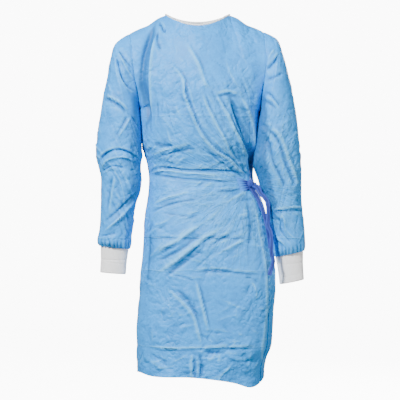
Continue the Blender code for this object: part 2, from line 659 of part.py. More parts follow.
def inner_back_panel():
    levels = panel_levels()
    ends = read(INNER_EDGE, "level", "angle", levels)
    share = np.linspace(0, 1, INNER_COLUMNS + 1)
    angles = SIDE + (ends[:, None] - SIDE) * share[None, :]
    points, normals = body_surface(angles, np.repeat(levels[:, None], len(share), axis=1))
    corner = round(NECK_SHARE * 90 / (INNER_EDGE[-1].angle - 90) * INNER_COLUMNS)
    finish_panel(points, normals, levels, [(0, "left", 1)], list(range(corner + 1)))
    cloth_wall("back_inner", points, normals, CLOTH)
    return points[-1, corner:], normals[-1, corner:]


def outer_back_panel():
    levels = panel_levels()
    starts = read(FREE_EDGE, "level", "angle", levels)
    share = np.linspace(0, 1, OUTER_COLUMNS + 1)
    angles = starts[:, None] + (270 - starts[:, None]) * share[None, :]
    level_grid = np.repeat(levels[:, None], len(share), axis=1)
    points, normals = body_surface(angles, level_grid)
    points += normals * wrap_lift(angles, level_grid)[..., None]
    reach = 270 - FREE_EDGE[-1].angle
    corner = round((reach - (1 - NECK_SHARE) * 90) / reach * OUTER_COLUMNS)
    finish_panel(points, normals, levels, [(-1, "right", 1)], list(range(corner, OUTER_COLUMNS + 1)))
    cloth_wall("back_outer", points, normals, CLOTH)
    return points[-1, :corner + 1], normals[-1, :corner + 1]


def prism_faces(stations):
    """The faces of a four-cornered strip carried through a number of stations, with both ends closed."""
    faces = [(3, 2, 1, 0), tuple((stations - 1) * 4 + v for v in range(4))]
    for i in range(stations - 1):
        for j in range(4):
            k = (j + 1) % 4
            faces.append((i * 4 + j, i * 4 + k, (i + 1) * 4 + k, (i + 1) * 4 + j))
    return faces


def neck_binding(edges):
    """A strip folded over the neck edge, from the outer back panel round the front to the inner one."""
    stations, ups = [], []
    for points, normals in edges:
        for point, normal in zip(points, normals):
            if stations and np.linalg.norm(stations[-1] - point) < 4 * SEAM_GAP:
                stations[-1] = (stations[-1] + point) / 2
                ups[-1] = unit(ups[-1] + normal)
            else:
                stations.append(point.copy())
                ups.append(normal.copy())
    stations, ups = np.array(stations), np.array(ups)
    run = unit(np.gradient(stations, axis=0))
    out = unit(ups - run * np.sum(ups * run, axis=1, keepdims=True))
    beyond = np.cross(out, run)
    towards_neck = np.array(NECK_MIDDLE) - stations
    beyond *= np.sign(np.sum(beyond * towards_neck, axis=1, keepdims=True))
    low = 2 * SEAM_GAP + SEAM_CLEAR
    over = (BINDING_THICK - WALL) / 2
    profile = (
        (over, low),
        (over, low + BINDING_HEIGHT),
        (-WALL - over, low + BINDING_HEIGHT),
        (-WALL - over, low),
    )
    rings = np.stack([stations + out * a + beyond * b for a, b in profile], axis=1)
    add_mesh("neck_binding", rings.reshape(-1, 3), prism_faces(len(stations)), BINDING)


def neck_tab():
    """The closing tab, sewn under the outer back panel at the neck and showing past its free edge."""
    levels = np.linspace(TAB_LOW_LEVEL, TAB_TOP_LEVEL, TAB_ROWS + 1)
    share = np.linspace(0, 1, TAB_COLUMNS + 1)
    starts = read(FREE_EDGE, "level", "angle", levels)
    angles = (starts - TAB_SHOWS)[:, None] + (TAB_SHOWS + TAB_HIDDEN) * share[None, :]
    level_grid = np.repeat(levels[:, None], len(share), axis=1)
    points, normals = body_surface(angles, level_grid)
    lifted = np.maximum(wrap_lift(angles, level_grid) - WALL - TAB_CLEAR, TAB_WALL + TAB_CLEAR)
    points += normals * lifted[..., None]
    cloth_wall("neck_tab", points, normals, BINDING, wall=TAB_WALL)


def sleeve_ring(ring, turn):
    """An ellipse: 0 at its outer side, a quarter turn at its front, a half turn at its inner side."""
    outer = np.array([ring.outer_x, 0, ring.outer_z])
    inner = np.array([ring.inner_x, 0, ring.inner_z])
    middle = (outer + inner) / 2 + np.array([0, ring.middle_y, 0])
    reach = (outer - inner) / 2
    return middle + np.cos(turn)[:, None] * reach + np.sin(turn)[:, None] * np.array([0, -ring.half_depth, 0])


def armhole_loop(side, turn):
    """The armhole's edge in the sleeve's own order, moved out from the body by the seam's gap."""
    rise = (1 + np.cos(turn)) / 2
    front = armhole_point(side, rise, -1)
    back = armhole_point(side, rise, 1)
    loop = np.where((np.sin(turn) >= 0)[:, None], front, back)
    loop[:, 0] += (SEAM_GAP + SEAM_CLEAR) * (1 if side == "left" else -1)
    return loop


def sleeve(side):
    """Rings from the armhole's loop, which fades into plain ellipses, down to the gathered wrist."""
    turn = np.arange(2 * ARMHOLE_STEPS) / (2 * ARMHOLE_STEPS) * 2 * math.pi
    rings = SLEEVES[side]
    grid = np.array([sleeve_ring(ring, turn) for ring in rings])
    extra = armhole_loop(side, turn) - grid[0]
    for row in range(LOOP_FADES_OVER):
        grid[row] += extra * (1 - ease(0, LOOP_FADES_OVER, row))
    if side == "right":
        grid = grid[:, ::-1]
        turn = turn[::-1]
    normals = grid_normals(grid, closed=True)
    front = ease(*SLEEVE_TAKES_FOLDS, -normals[..., 1])
    rows = np.arange(len(rings))[:, None]
    fade = ease(0, 2, rows) * ease(len(rings) - 1, len(rings) - 2, rows)
    grid += normals * (front * fade * fold_height(grid[..., 0], grid[..., 2], SLEEVE_FOLDS[side]))[..., None]
    rise = (1 + np.cos(turn)) / 2
    towards = np.where(np.sin(turn) >= 0, -1, 1)
    order = np.argsort(rise)
    for way in (-1, 1):
        chosen = order[towards[order] == way]
        normals[0, chosen] = armhole_normals(normals[0, chosen], rise[chosen], side, way)
    top = int(np.argmax(rise))
    normals[0, top] = (0, 0, 1)
    cloth_wall(f"sleeve_{side}", grid, normals, CLOTH, closed=True)


def cuff(side):
    """A knitted tube from the sleeve's end to the wrist."""
    turn = np.arange(2 * ARMHOLE_STEPS) / (2 * ARMHOLE_STEPS) * 2 * math.pi
    start = SLEEVES[side][-1]._replace(half_depth=CUFF_TOP_HALF_DEPTH)
    end = CUFF_ENDS[side]
    top, low = sleeve_ring(start, turn), sleeve_ring(end, turn)
    down = unit((low - top).mean(axis=0))
    top = top + down * CUFF_GAP
    share = np.linspace(0, 1, CUFF_ROWS + 1)[:, None, None]
    grid = top + (low - top) * share
    if side == "right":
        grid = grid[:, ::-1]
    normals = grid_normals(grid, closed=True)
    normals[0] = unit(normals[0] - down * np.sum(normals[0] * down, axis=1, keepdims=True))
    cloth_wall(f"cuff_{side}", grid, normals, KNIT, closed=True)


def level_at(angle, height):
    """The level of a height below the armpits, at an angle."""
    bottom = float(smooth_body(angle, 0.0)[2])
    top = float(smooth_body(angle, 1.0)[2])
    return (height - bottom) / (top - bottom)


def tie_on_body(name, stretch):
    """A strip that lies on the body from one angle to another, made from its points and moved out."""
    angles = np.linspace(stretch.start, stretch.end, STRETCH_STEPS + 1)
    half = np.linspace(stretch.start_half, stretch.end_half, STRETCH_STEPS + 1)
    rows = np.array([-1.0, 0.0, 1.0])
    heights = TIE_HEIGHT + rows[:, None] * half[None, :]
    levels = np.array([[level_at(a, h) for a, h in zip(angles, line)] for line in heights])
    points, normals = body_surface(np.repeat(angles[None, :], len(rows), axis=0), levels)
    points += normals * (stretch.lift + TIE_WALL)
    cloth_wall(name, points, normals, TIE_CLOTH, wall=TIE_WALL)


def tie_knot():
    """A small overhand knot: an egg-shaped lump with three slanted waists where the tape crosses."""
    spot = np.array([[level_at(KNOT_ANGLE, TIE_HEIGHT)]])
    grid_angles = np.array([[KNOT_ANGLE - 1, KNOT_ANGLE, KNOT_ANGLE + 1]] * 3)
    points, normals = body_surface(grid_angles, spot + np.array([[-.01], [0], [.01]]))
    middle = points[1, 1] + normals[1, 1] * KNOT_LIFT
    out = normals[1, 1]
    across = unit(np.cross((0, 0, 1), out))
    up = np.cross(out, across)
    rings, sides = KNOT_RINGS, KNOT_SIDES
    lat = np.linspace(0, math.pi, rings + 1)[1:-1, None]
    lon = np.arange(sides)[None, :] / sides * 2 * math.pi
    lump = 1 + KNOT_LUMP_HEIGHT * np.cos(KNOT_LUMPS * lon + KNOT_SLANT * lat) * np.sin(lat)
    x = np.sin(lat) * np.cos(lon) * lump * KNOT_HALF[0]
    y = np.sin(lat) * np.sin(lon) * lump * KNOT_HALF[1]
    z = np.cos(lat) * np.ones_like(lon) * KNOT_HALF[2]
    body = (x[..., None] * across + y[..., None] * out + z[..., None] * up).reshape(-1, 3) + middle
    vertices = list(body) + [middle + up * KNOT_HALF[2], middle - up * KNOT_HALF[2]]
    faces = []
    for r in range(rings - 2):
        for c in range(sides):
            d = (c + 1) % sides
            faces.append((r * sides + c, r * sides + d, (r + 1) * sides + d, (r + 1) * sides + c))
    last = (rings - 2) * sides
    for c in range(sides):
        d = (c + 1) % sides
        faces.append((len(body), d, c))
        faces.append((len(body) + 1, last + c, last + d))
    add_mesh("tie_knot", vertices, faces, TIE_CLOTH)


def tie_tail(name, route, turns):
    """A flat tape along a smooth route, its width turned from the picture plane by the given degrees."""
    points = np.array(route)
    stations = turns.stations
    ran = np.concatenate([[0], np.cumsum(np.linalg.norm(np.diff(points, axis=0), axis=1))])
    at = np.linspace(0, ran[-1], stations)
    line = np.stack([smooth_read(ran, points[:, i], at) for i in range(3)], axis=-1)
    run = unit(np.gradient(line, axis=0))
    turn = np.radians(turns.start + (turns.end - turns.start) * at / ran[-1])
    wide = np.stack([np.cos(turn), np.sin(turn), np.zeros(stations)], axis=-1)
    wide = unit(wide - run * np.sum(wide * run, axis=1, keepdims=True))
    thick = np.cross(run, wide)
    corners = ((-1, -1), (1, -1), (1, 1), (-1, 1))
    rings = np.stack([line + wide * a * TIE_WIDTH / 2 + thick * b * TIE_WALL / 2 for a, b in corners], axis=1)
    add_mesh(name, rings.reshape(-1, 3), prism_faces(stations), TIE_CLOTH)


def build():
    for old in list(bpy.data.objects):
        bpy.data.objects.remove(old, do_unlink=True)
    front_edge = front_panel()
    inner_edge = inner_back_panel()
    outer_edge = outer_back_panel()
    neck_binding((outer_edge, front_edge, inner_edge))
    neck_tab()
    for side in ("right", "left"):
        sleeve(side)
        cuff(side)
    tie_on_body("tie_front", FRONT_STRETCH)
    tie_on_body("tie_wrap", WRAP_STRETCH)
    tie_knot()
    tie_tail("tie_tail_long", LONG_TAIL, LONG_TURNS)
    tie_tail("tie_tail_short", SHORT_TAIL, SHORT_TURNS)


build()
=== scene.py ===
"""A wrap-around surgical gown of nonwoven cloth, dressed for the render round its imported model.

Metres, +Z up. The gown faces -Y, +X is the wearer's left, and the origin lies between the shoulders.
Angles on the body run from 0 at the front centre, through 90 at the wearer's left side and 180 at the
back centre, to 270 (or -90) at the wearer's right side. Levels run from 0 at the hem, through 1 at
the armpits, to 2 at the shoulder seams and the neck edge.
"""

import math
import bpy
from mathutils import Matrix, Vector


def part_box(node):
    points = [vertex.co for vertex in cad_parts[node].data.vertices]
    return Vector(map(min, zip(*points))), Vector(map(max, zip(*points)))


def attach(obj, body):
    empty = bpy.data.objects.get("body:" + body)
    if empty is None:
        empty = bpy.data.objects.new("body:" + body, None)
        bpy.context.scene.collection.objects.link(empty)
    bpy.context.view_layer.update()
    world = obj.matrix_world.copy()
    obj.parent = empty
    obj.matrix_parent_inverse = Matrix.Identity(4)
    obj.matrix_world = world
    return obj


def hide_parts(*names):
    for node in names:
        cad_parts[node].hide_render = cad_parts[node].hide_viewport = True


bl_info = {
    "name": "Surgical gown",
    "version": (1, 0, 0),
    "blender": (4, 5, 0),
    "location": "3D View > Sidebar > Gown",
    "description": "Models a wrap-around surgical gown of nonwoven cloth with knitted cuffs and waist ties",
    "category": "Object",
}

from collections import namedtuple

import bpy
import numpy as np
from mathutils import Matrix

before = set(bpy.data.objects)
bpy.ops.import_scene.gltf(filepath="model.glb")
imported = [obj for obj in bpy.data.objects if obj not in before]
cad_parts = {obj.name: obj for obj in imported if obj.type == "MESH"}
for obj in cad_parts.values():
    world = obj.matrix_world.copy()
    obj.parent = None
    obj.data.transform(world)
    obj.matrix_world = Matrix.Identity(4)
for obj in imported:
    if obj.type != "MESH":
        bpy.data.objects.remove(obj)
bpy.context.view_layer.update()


def table(kind, *rows):
    """The rows of a table, with its columns named."""
    return tuple(kind(*row) for row in rows)


# Rows and columns of the pieces
Rows = namedtuple("Rows", "start end count")
PANEL_ROWS = table(Rows, (0, .62, 130), (.62, .84, 56), (.84, 1, 26))
YOKE_ROWS = 70
FRONT_COLUMNS = 160
OUTER_COLUMNS = 150
INNER_COLUMNS = 90
SLEEVE_ROWS = 150
SLEEVE_COLUMNS = 140
CUFF_ROWS = 46
RIB_COLUMNS = 6
BINDING_STATIONS = 480
TAB_ROWS, TAB_COLUMNS = 25, 49
STRETCH_ROWS, STRETCH_COLUMNS = 29, 61
KNOT_ROWS, KNOT_COLUMNS = 41, 64
BAND_STATIONS, BAND_POINTS = 97, 9
TAIL_STATIONS, TAIL_POINTS = 150, 11
FLOOR_COLUMNS, FLOOR_BEND_ROWS = 96, 17

# How far the outer back panel lies outside the inner one, and the clear space at the armholes' seams
WRAP_LIFT = 0.0044
WRAP_LIFT_AT_NECK = 0.0056
WRAP_LIFT_ON_FRONT = 0.0062
SEAM_GAP = 0.0003
SEAM_CLEAR = 0.0002

# Neck and shoulders
NECK_HALF_WIDTH = 0.092
NECK_MIDDLE_Y = 0.008
NECK_FRONT_DEPTH = 0.079
NECK_BACK_DEPTH = 0.055
NECK_SIDE_HEIGHT = 0.0435
NECK_FRONT_HEIGHT = 0.0055
NECK_BACK_HEIGHT = 0.0265
NECK_SHARE = 0.5
NECK_MIDDLE = (0.0, 0.0, 0.0935)

Shoulder = namedtuple("Shoulder", "across height")
SHOULDER_LINE = table(
    Shoulder,
    (.092, .0435), (.111, .036), (.142, .015), (.166, .0055), (.195, -.0085),
)

# The armhole's edge on each side, from the armpit to the shoulder tip
Armhole = namedtuple("Armhole", "rise across")
ARMHOLES = {
    "right": table(
        Armhole,
        (0, -.1645), (.2, -.169), (.4, -.177), (.65, -.1825), (.85, -.187), (1, -.195),
    ),
    "left": table(
        Armhole,
        (0, .178), (.2, .181), (.4, .187), (.65, .1925), (.85, .189), (1, .188),
    ),
}
ARMPIT_HEIGHT = {"right": -0.222, "left": -0.234}
TIP_HEIGHT = {"right": -0.0105, "left": -0.0050}
ARMHOLE_HALF_DEPTH = 0.072
ARMHOLE_ROUNDNESS = 2.2

# How the cloth turns over the shoulders: a higher power turns later and more sharply
TURN_POWER_AT_NECK = 1.9
TURN_POWER_ON_SHOULDER = 3.0
TURN_ROUNDNESS_ON_SHOULDER = 0.35
RISE_POWER = 1.3
EDGE_WEIGHT_POWER = 1.6
EDGE_WEIGHT_AT_ARMPIT = 2.4
ARMPIT_EFFECT_ENDS = 0.30

# Level sections of the body from the armpits down
Section = namedtuple("Section", "height right left front back round corner")
BODY = table(
    Section,
    (-.215, -.164, .1785, -.118, .112, 2.4, 2.4), (-.2595, -.1655, .175, -.119, .11, 2.4, 2.4),
    (-.2965, -.1615, .173, -.118, .107, 2.4, 2.4), (-.325, -.159, .1712, -.115, .103, 2.4, 2.4),
    (-.355, -.151, .1605, -.108, .098, 2.3, 2.4), (-.3876, -.1425, .1573, -.1, .093, 2.3, 2.4),
    (-.42, -.1385, .155, -.097, .091, 2.3, 2.5), (-.448, -.139, .161, -.101, .095, 2.4, 2.7),
    (-.4845, -.1428, .177, -.11, .104, 2.4, 3.1), (-.527, -.1496, .1905, -.118, .113, 2.5, 3.3),
    (-.57, -.1525, .1965, -.123, .12, 2.6, 3.4), (-.627, -.1553, .2065, -.127, .125, 2.6, 3.4),
    (-.684, -.161, .215, -.129, .128, 2.6, 3.4), (-.741, -.1639, .2155, -.13, .13, 2.6, 3.4),
    (-.798, -.1696, .211, -.131, .131, 2.6, 3.3), (-.855, -.1739, .208, -.131, .131, 2.6, 3.2),
    (-.898, -.1724, .204, -.131, .131, 2.6, 3), (-.929, -.1724, .1915, -.13, .131, 2.6, 2.9),
    (-.958, -.1724, .1845, -.13, .131, 2.6, 2.8), (-1.02, -.171, .1815, -.13, .131, 2.6, 2.8),
)

# The hem's height round the body
Hem = namedtuple("Hem", "angle height")
HEM = table(
    Hem,
    (-90, -.974), (-62, -.969), (-45, -.974), (-5, -.976), (12, -.981), (32, -.993), (46, -1.006),
    (60, -.999), (74, -.984), (100, -.977), (150, -.979), (200, -.984), (240, -.978), (270, -.974),
)

# Where the two back panels end, by level
Edge = namedtuple("Edge", "level angle")
FREE_EDGE = table(
    Edge,
    (0, 64), (.12, 59), (.26, 56), (.4, 52), (.6, 53), (.66, 61), (.74, 76), (.86, 100), (1, 128),
    (1.6, 146), (2, 150),
)
INNER_EDGE = table(
    Edge,
    (0, 214), (.7, 212), (1, 205), (2, 195),
)
LIFT_STARTS, LIFT_ENDS = 262.0, 226.0
NECK_LIFT_LEVELS = (1.65, 2.0)
FRONT_LIFT_ANGLES = (82, 62)
SIDE = 90.001

# Angles over which the skirt's left front corner comes and goes
CORNER_COMES = (-12, 14)
CORNER_GOES = (150, 95)

# How far a surface must face the front or the back to take the creases there
FACING_TAKES_CREASES = (0.05, 0.45)
CORNER_TAKES_CREASES = (0.2, 0.6)
CORNER_BEHIND_Y, CORNER_BELOW_Z = -0.03, -0.45

# Sleeve rings from the armhole to the cuff, by their outer and inner sides seen from the front
Ring = namedtuple("Ring", "outer_x outer_z inner_x inner_z half_depth middle_y")
SLEEVES = {
    "right": table(
        Ring,
        (-.195, -.0105, -.1645, -.222, .072, 0), (-.219, -.026, -.1672, -.2339, .072, -.006),
        (-.237, -.046, -.166, -.2458, .071, -.013), (-.246, -.08, -.1647, -.2606, .07, -.02),
        (-.2548, -.1333, -.1628, -.2779, .068, -.026), (-.266, -.1872, -.1604, -.2979, .066, -.03),
        (-.2757, -.25, -.1584, -.3194, .064, -.033), (-.2835, -.3036, -.1566, -.3433, .062, -.035),
        (-.2873, -.3374, -.1555, -.3631, .061, -.037), (-.2848, -.3661, -.1585, -.377, .058, -.038),
        (-.2793, -.3914, -.1594, -.3969, .056, -.039), (-.2727, -.4197, -.1574, -.4251, .055, -.04),
        (-.2727, -.4617, -.1613, -.4617, .053, -.041), (-.2731, -.5013, -.1732, -.4959, .05, -.042),
        (-.2745, -.5434, -.1781, -.5409, .047, -.043), (-.2769, -.5745, -.184, -.5775, .044, -.044),
        (-.2798, -.5987, -.1889, -.6056, .041, -.045), (-.2728, -.6125, -.1937, -.6219, .03, -.046),
    ),
    "left": table(
        Ring,
        (.188, -.005, .178, -.234, .072, 0), (.2085, -.015, .1782, -.2484, .072, -.006),
        (.228, -.03, .1764, -.2607, .071, -.013), (.2383, -.0591, .1746, -.2751, .07, -.02),
        (.2504, -.0995, .1734, -.2913, .068, -.026), (.26, -.1426, .1721, -.3083, .066, -.03),
        (.2707, -.1934, .1708, -.3253, .064, -.033), (.2795, -.2441, .1705, -.3462, .062, -.035),
        (.2848, -.2928, .1699, -.3661, .061, -.037), (.2892, -.3404, .1691, -.3884, .059, -.038),
        (.2926, -.3914, .1713, -.4196, .057, -.039), (.2935, -.4395, .1762, -.4504, .055, -.04),
        (.2937, -.4815, .1881, -.4815, .052, -.041), (.2969, -.5211, .1969, -.5236, .049, -.042),
        (.3007, -.5552, .2038, -.5632, .046, -.043), (.3021, -.5829, .2097, -.5973, .043, -.044),
        (.3006, -.6071, .2141, -.6239, .04, -.045), (.2975, -.6273, .2194, -.6432, .03, -.046),
    ),
}
CUFF_ENDS = {
    "right": Ring(-0.2742, -0.6880, -0.2018, -0.6935, 0.024, -0.049),
    "left": Ring(0.2998, -0.7083, 0.2312, -0.7216, 0.024, -0.049),
}
CUFF_TOP_HALF_DEPTH = 0.028
LOOP_FADES_OVER = 5

# The neck tab: its wall, the clear space above and below it, the wall of the cloth over it, the degrees
# over which it shows and is hidden, and its levels
TAB_WALL = 0.0016
TAB_CLEAR = 0.0008
CLOTH_OVER_TAB = 0.0018
TAB_SHOWS = 7.0
TAB_HIDDEN = 16.0
TAB_TOP_LEVEL, TAB_LOW_LEVEL = 1.955, 1.860

# Waist ties
TIE_WIDTH = 0.012
TIE_WALL = 0.0014
STRETCH_WALL = 0.0009
TIE_HEIGHT = -0.4425
KNOT_ANGLE = 55.0
KNOT_HALF = (0.0095, 0.0068, 0.0110)

# The tie's two stretches on the body: angles and half widths of their start and end, and their lift
Stretch = namedtuple("Stretch", "start end start_half end_half lift pleats gathered")
FRONT_STRETCH = Stretch(40.0, 54.5, 0.014, 0.008, 0.0007, 5, True)
WRAP_STRETCH = Stretch(59.3, 82.0, 0.006, 0.006, WRAP_LIFT_ON_FRONT + 0.0002, 2, False)

# The bands of tape across the knot: slant in degrees, half width, and size against the knot's own; then
# the lump's size against it, and the bands' wall
Band = namedtuple("Band", "slant half_width grow")
KNOT_BANDS = table(Band, (25, .0040, 1.06), (-38, .0036, 1.13), (80, .0034, 1.19))
KNOT_CORE = 0.92
BAND_WALL = 0.0011

# The two tails: how far their width turns from the picture plane at the start and at the end
Turns = namedtuple("Turns", "start end")
LONG_TURNS = Turns(6, 8)
SHORT_TURNS = Turns(20, 10)
Point = namedtuple("Point", "x y z")
LONG_TAIL = table(
    Point,
    (.1566, -.07, -.4425), (.168, -.074, -.45), (.1755, -.078, -.4645), (.186, -.081, -.476),
    (.195, -.083, -.49), (.197, -.086, -.513), (.197, -.09, -.536), (.196, -.095, -.556),
    (.203, -.1, -.573), (.2055, -.106, -.607), (.2055, -.109, -.6355), (.2105, -.111, -.6525),
    (.2035, -.113, -.678), (.199, -.115, -.6925),
)
SHORT_TAIL = table(
    Point,
    (.1508, -.0705, -.4505), (.157, -.074, -.462), (.1665, -.076, -.476), (.1755, -.079, -.496),
    (.188, -.085, -.532), (.193, -.09, -.553), (.199, -.096, -.587), (.2025, -.101, -.6185),
)

# Creases, each along a line of points (across, height) seen from the front. A ridge above 0 stands
# out and one below 0 sinks in; a step above 0 raises the cloth on the left of the line's own way.
Crease = namedtuple("Crease", "name line width ridge step")
FRONT_CREASES = table(
    Crease,
    ("hollow by the right armhole", ((-.118, .022), (-.136, -.023), (-.151, -.082), (-.159, -.151),
     (-.149, -.201), (-.141, -.24), (-.146, -.301)), .015, -.009, 0),
    ("ridge from the neck's side", ((-.115, -.009), (-.126, -.054), (-.133, -.123), (-.132, -.193),
     (-.126, -.268)), .008, .0045, 0),
    ("neck crease", ((-.108, .02), (-.099, .005), (-.089, -.015)), .0042, -.0048, .0016),
    ("neck crease, lower", ((-.112, -.008), (-.113, -.033), (-.101, -.068)), .0042, -.0044, .001),
    ("chest ridge", ((-.029, -.048), (.007, -.114), (.026, -.184)), .0058, .003, -.0015),
    ("long drag line", ((-.072, -.105), (-.039, -.146), (-.033, -.193), (-.012, -.248), (.012, -.3),
     (.05, -.346), (.092, -.372), (.118, -.398), (.148, -.424)), .0042, .0036, -.0036),
    ("second drag line", ((.053, -.193), (.081, -.239), (.104, -.285), (.132, -.341), (.147, -.39)),
     .0046, .0025, -.0032),
    ("hollow above the knot", ((.086, -.19), (.112, -.257), (.136, -.318), (.148, -.372), (.152, -.418)),
     .011, -.012, 0),
    ("ridge left of the hollow", ((.082, -.225), (.102, -.283), (.132, -.345), (.147, -.38), (.149, -.42)),
     .005, .0044, -.002),
    ("ridge right of the hollow", ((.118, -.193), (.142, -.24), (.157, -.29), (.16, -.35), (.156, -.4)),
     .007, .005, 0),
    ("top of the hollow", ((.054, -.193), (.082, -.187), (.113, -.193)), .005, 0, .0025),
    ("middle drag line", ((.015, -.184), (.032, -.229), (.06, -.284), (.093, -.346), (.126, -.396)),
     .0042, .0018, -.0018),
    ("ribs crease", ((-.113, -.207), (-.109, -.259)), .0035, -.0016, 0),
    ("patch above the waist", ((-.126, -.326), (-.096, -.334), (-.063, -.337)), .007, -.003, 0),
    ("roll above the waist", ((-.129, -.359), (-.096, -.348), (-.06, -.337), (-.021, -.329)),
     .005, .0025, 0),
    ("fold above the waist", ((-.121, -.369), (-.065, -.353), (-.001, -.341)), .005, -.0026, 0),
    ("upper waist fold", ((-.136, -.403), (-.122, -.396), (-.099, -.392), (-.035, -.4), (.065, -.402),
     (.108, -.406), (.13, -.411), (.148, -.424)), .0036, -.0034, .0016),
    ("waist roll", ((-.135, -.408), (-.09, -.403), (-.021, -.411), (.076, -.419)), .004, .0026, 0),
    ("lower waist fold", ((-.136, -.415), (-.118, -.414), (-.085, -.418), (-.035, -.425), (.03, -.429),
     (.077, -.432), (.12, -.429)), .0034, -.003, .0012),
    ("fan to the knot, high", ((.021, -.346), (.076, -.387), (.135, -.426)), .005, -.0025, 0),
    ("fan to the knot, steep", ((.076, -.323), (.113, -.373), (.14, -.418)), .004, -.002, 0),
    ("fan below the knot", ((.132, -.446), (.096, -.457), (.046, -.459)), .005, -.0025, 0),
    ("fan below the knot, low", ((.135, -.457), (.107, -.476), (.068, -.493)), .005, .002, 0),
    ("hip ridge", ((-.127, -.498), (-.09, -.482), (-.053, -.471), (-.016, -.461)), .006, .003, 0),
    ("hip trough", ((-.129, -.515), (-.063, -.493), (.001, -.482)), .006, -.0025, 0),
    ("hip line", ((-.104, -.519), (-.06, -.526), (-.015, -.531)), .0035, -.0013, 0),
    ("packing crease, high", ((-.146, -.589), (-.104, -.588), (-.035, -.59), (.049, -.588), (.163, -.59)),
     .004, -.0016, .0008),
    ("upper skirt ridge", ((-.115, -.629), (-.054, -.596), (.007, -.554)), .01, .005, 0),
    ("trough between the ridges", ((-.118, -.657), (-.049, -.623), (.015, -.573)), .009, -.0026, 0),
    ("lower skirt ridge", ((-.11, -.687), (-.054, -.651), (.013, -.596), (.057, -.568)), .01, .006, 0),
    ("trough below the ridges", ((-.096, -.701), (-.035, -.657), (.024, -.615)), .009, -.0026, 0),
    ("middle crease", ((-.021, -.679), (.024, -.678), (.068, -.678), (.124, -.685), (.179, -.69)),
     .004, -.0018, .0015),
    ("middle crease, left", ((-.071, -.69), (-.038, -.696), (-.004, -.707)), .004, -.0015, .001),
    ("centre ridge", ((-.003, -.707), (.007, -.743), (.017, -.782), (.03, -.84)), .0045, .0034, -.0024),
    ("slanted ridge", ((-.086, -.725), (-.044, -.762), (-.012, -.799), (.001, -.84), (.012, -.882)),
     .0048, .0032, -.002),
    ("hollow by the slanted ridge", ((-.06, -.729), (-.021, -.768), (-.001, -.812)), .008, -.003, 0),
    ("packing crease, low", ((-.146, -.892), (-.09, -.896), (-.035, -.895), (.015, -.892), (.096, -.89),
     (.179, -.892)), .004, .0012, .0009),
    ("central hollow", ((.015, -.901), (.043, -.907), (.074, -.904)), .007, -.004, 0),
    ("hem fold", ((-.012, -.918), (-.013, -.946), (-.011, -.979)), .005, 0, -.003),
    ("hem hollow", ((.004, -.907), (.01, -.94), (.007, -.982)), .008, -.004, 0),
    ("side curl", ((.146, -.71), (.16, -.729), (.163, -.762)), .0035, .0016, 0),
    ("side curl, high", ((.129, -.698), (.151, -.701), (.168, -.715)), .0035, -.0013, 0),
    ("skirt corner", ((.151, -.462), (.165, -.526), (.176, -.596), (.189, -.679), (.192, -.776),
     (.186, -.846), (.179, -.901), (.179, -.979)), .009, .003, 0),
    ("low left crease", ((-.132, -.907), (-.11, -.921), (-.076, -.932)), .004, -.0016, .0006),
    ("low right crease", ((.079, -.918), (.118, -.932), (.16, -.926)), .004, -.0015, .0006),
    ("left hip fall", ((-.132, -.529), (-.135, -.623), (-.143, -.735)), .009, -.0025, 0),
    ("right hip hollow", ((.138, -.484), (.146, -.554), (.138, -.623)), .01, -.003, 0),
)

RIGHT_SLEEVE_CREASES = table(
    Crease,
    ("drag from the shoulder", ((-.224, -.059), (-.204, -.09), (-.179, -.12)), .004, -.003, 0),
    ("ridge of the drag", ((-.221, -.073), (-.196, -.123), (-.176, -.151)), .005, .003, 0),
    ("deep drag", ((-.231, -.082), (-.213, -.134), (-.189, -.171), (-.174, -.179)), .006, -.0065, 0),
    ("upper arm step", ((-.261, -.193), (-.221, -.215), (-.196, -.24)), .005, 0, .003),
    ("star, long arm", ((-.189, -.248), (-.204, -.279), (-.221, -.309)), .0035, .0022, 0),
    ("star, groove", ((-.199, -.251), (-.215, -.282), (-.229, -.304)), .0035, -.0018, 0),
    ("star, short arm", ((-.188, -.248), (-.174, -.271), (-.16, -.293)), .004, -.0026, 0),
    ("elbow fold", ((-.276, -.382), (-.261, -.358), (-.226, -.344), (-.19, -.351), (-.16, -.373)),
     .005, -.0046, .0018),
    ("elbow roll", ((-.268, -.396), (-.249, -.373), (-.207, -.365), (-.174, -.379)), .006, .0026, 0),
    ("fold under the elbow", ((-.271, -.407), (-.238, -.391), (-.199, -.396)), .004, -.0025, 0),
    ("forearm step", ((-.233, -.412), (-.243, -.471), (-.251, -.526)), .006, 0, .0024),
    ("forearm ridge", ((-.174, -.482), (-.218, -.535), (-.261, -.571)), .006, .004, 0),
    ("forearm trough", ((-.168, -.459), (-.215, -.507), (-.26, -.543)), .006, -.0035, 0),
    ("wrist crease", ((-.274, -.585), (-.249, -.582), (-.224, -.576)), .0035, -.002, 0),
)

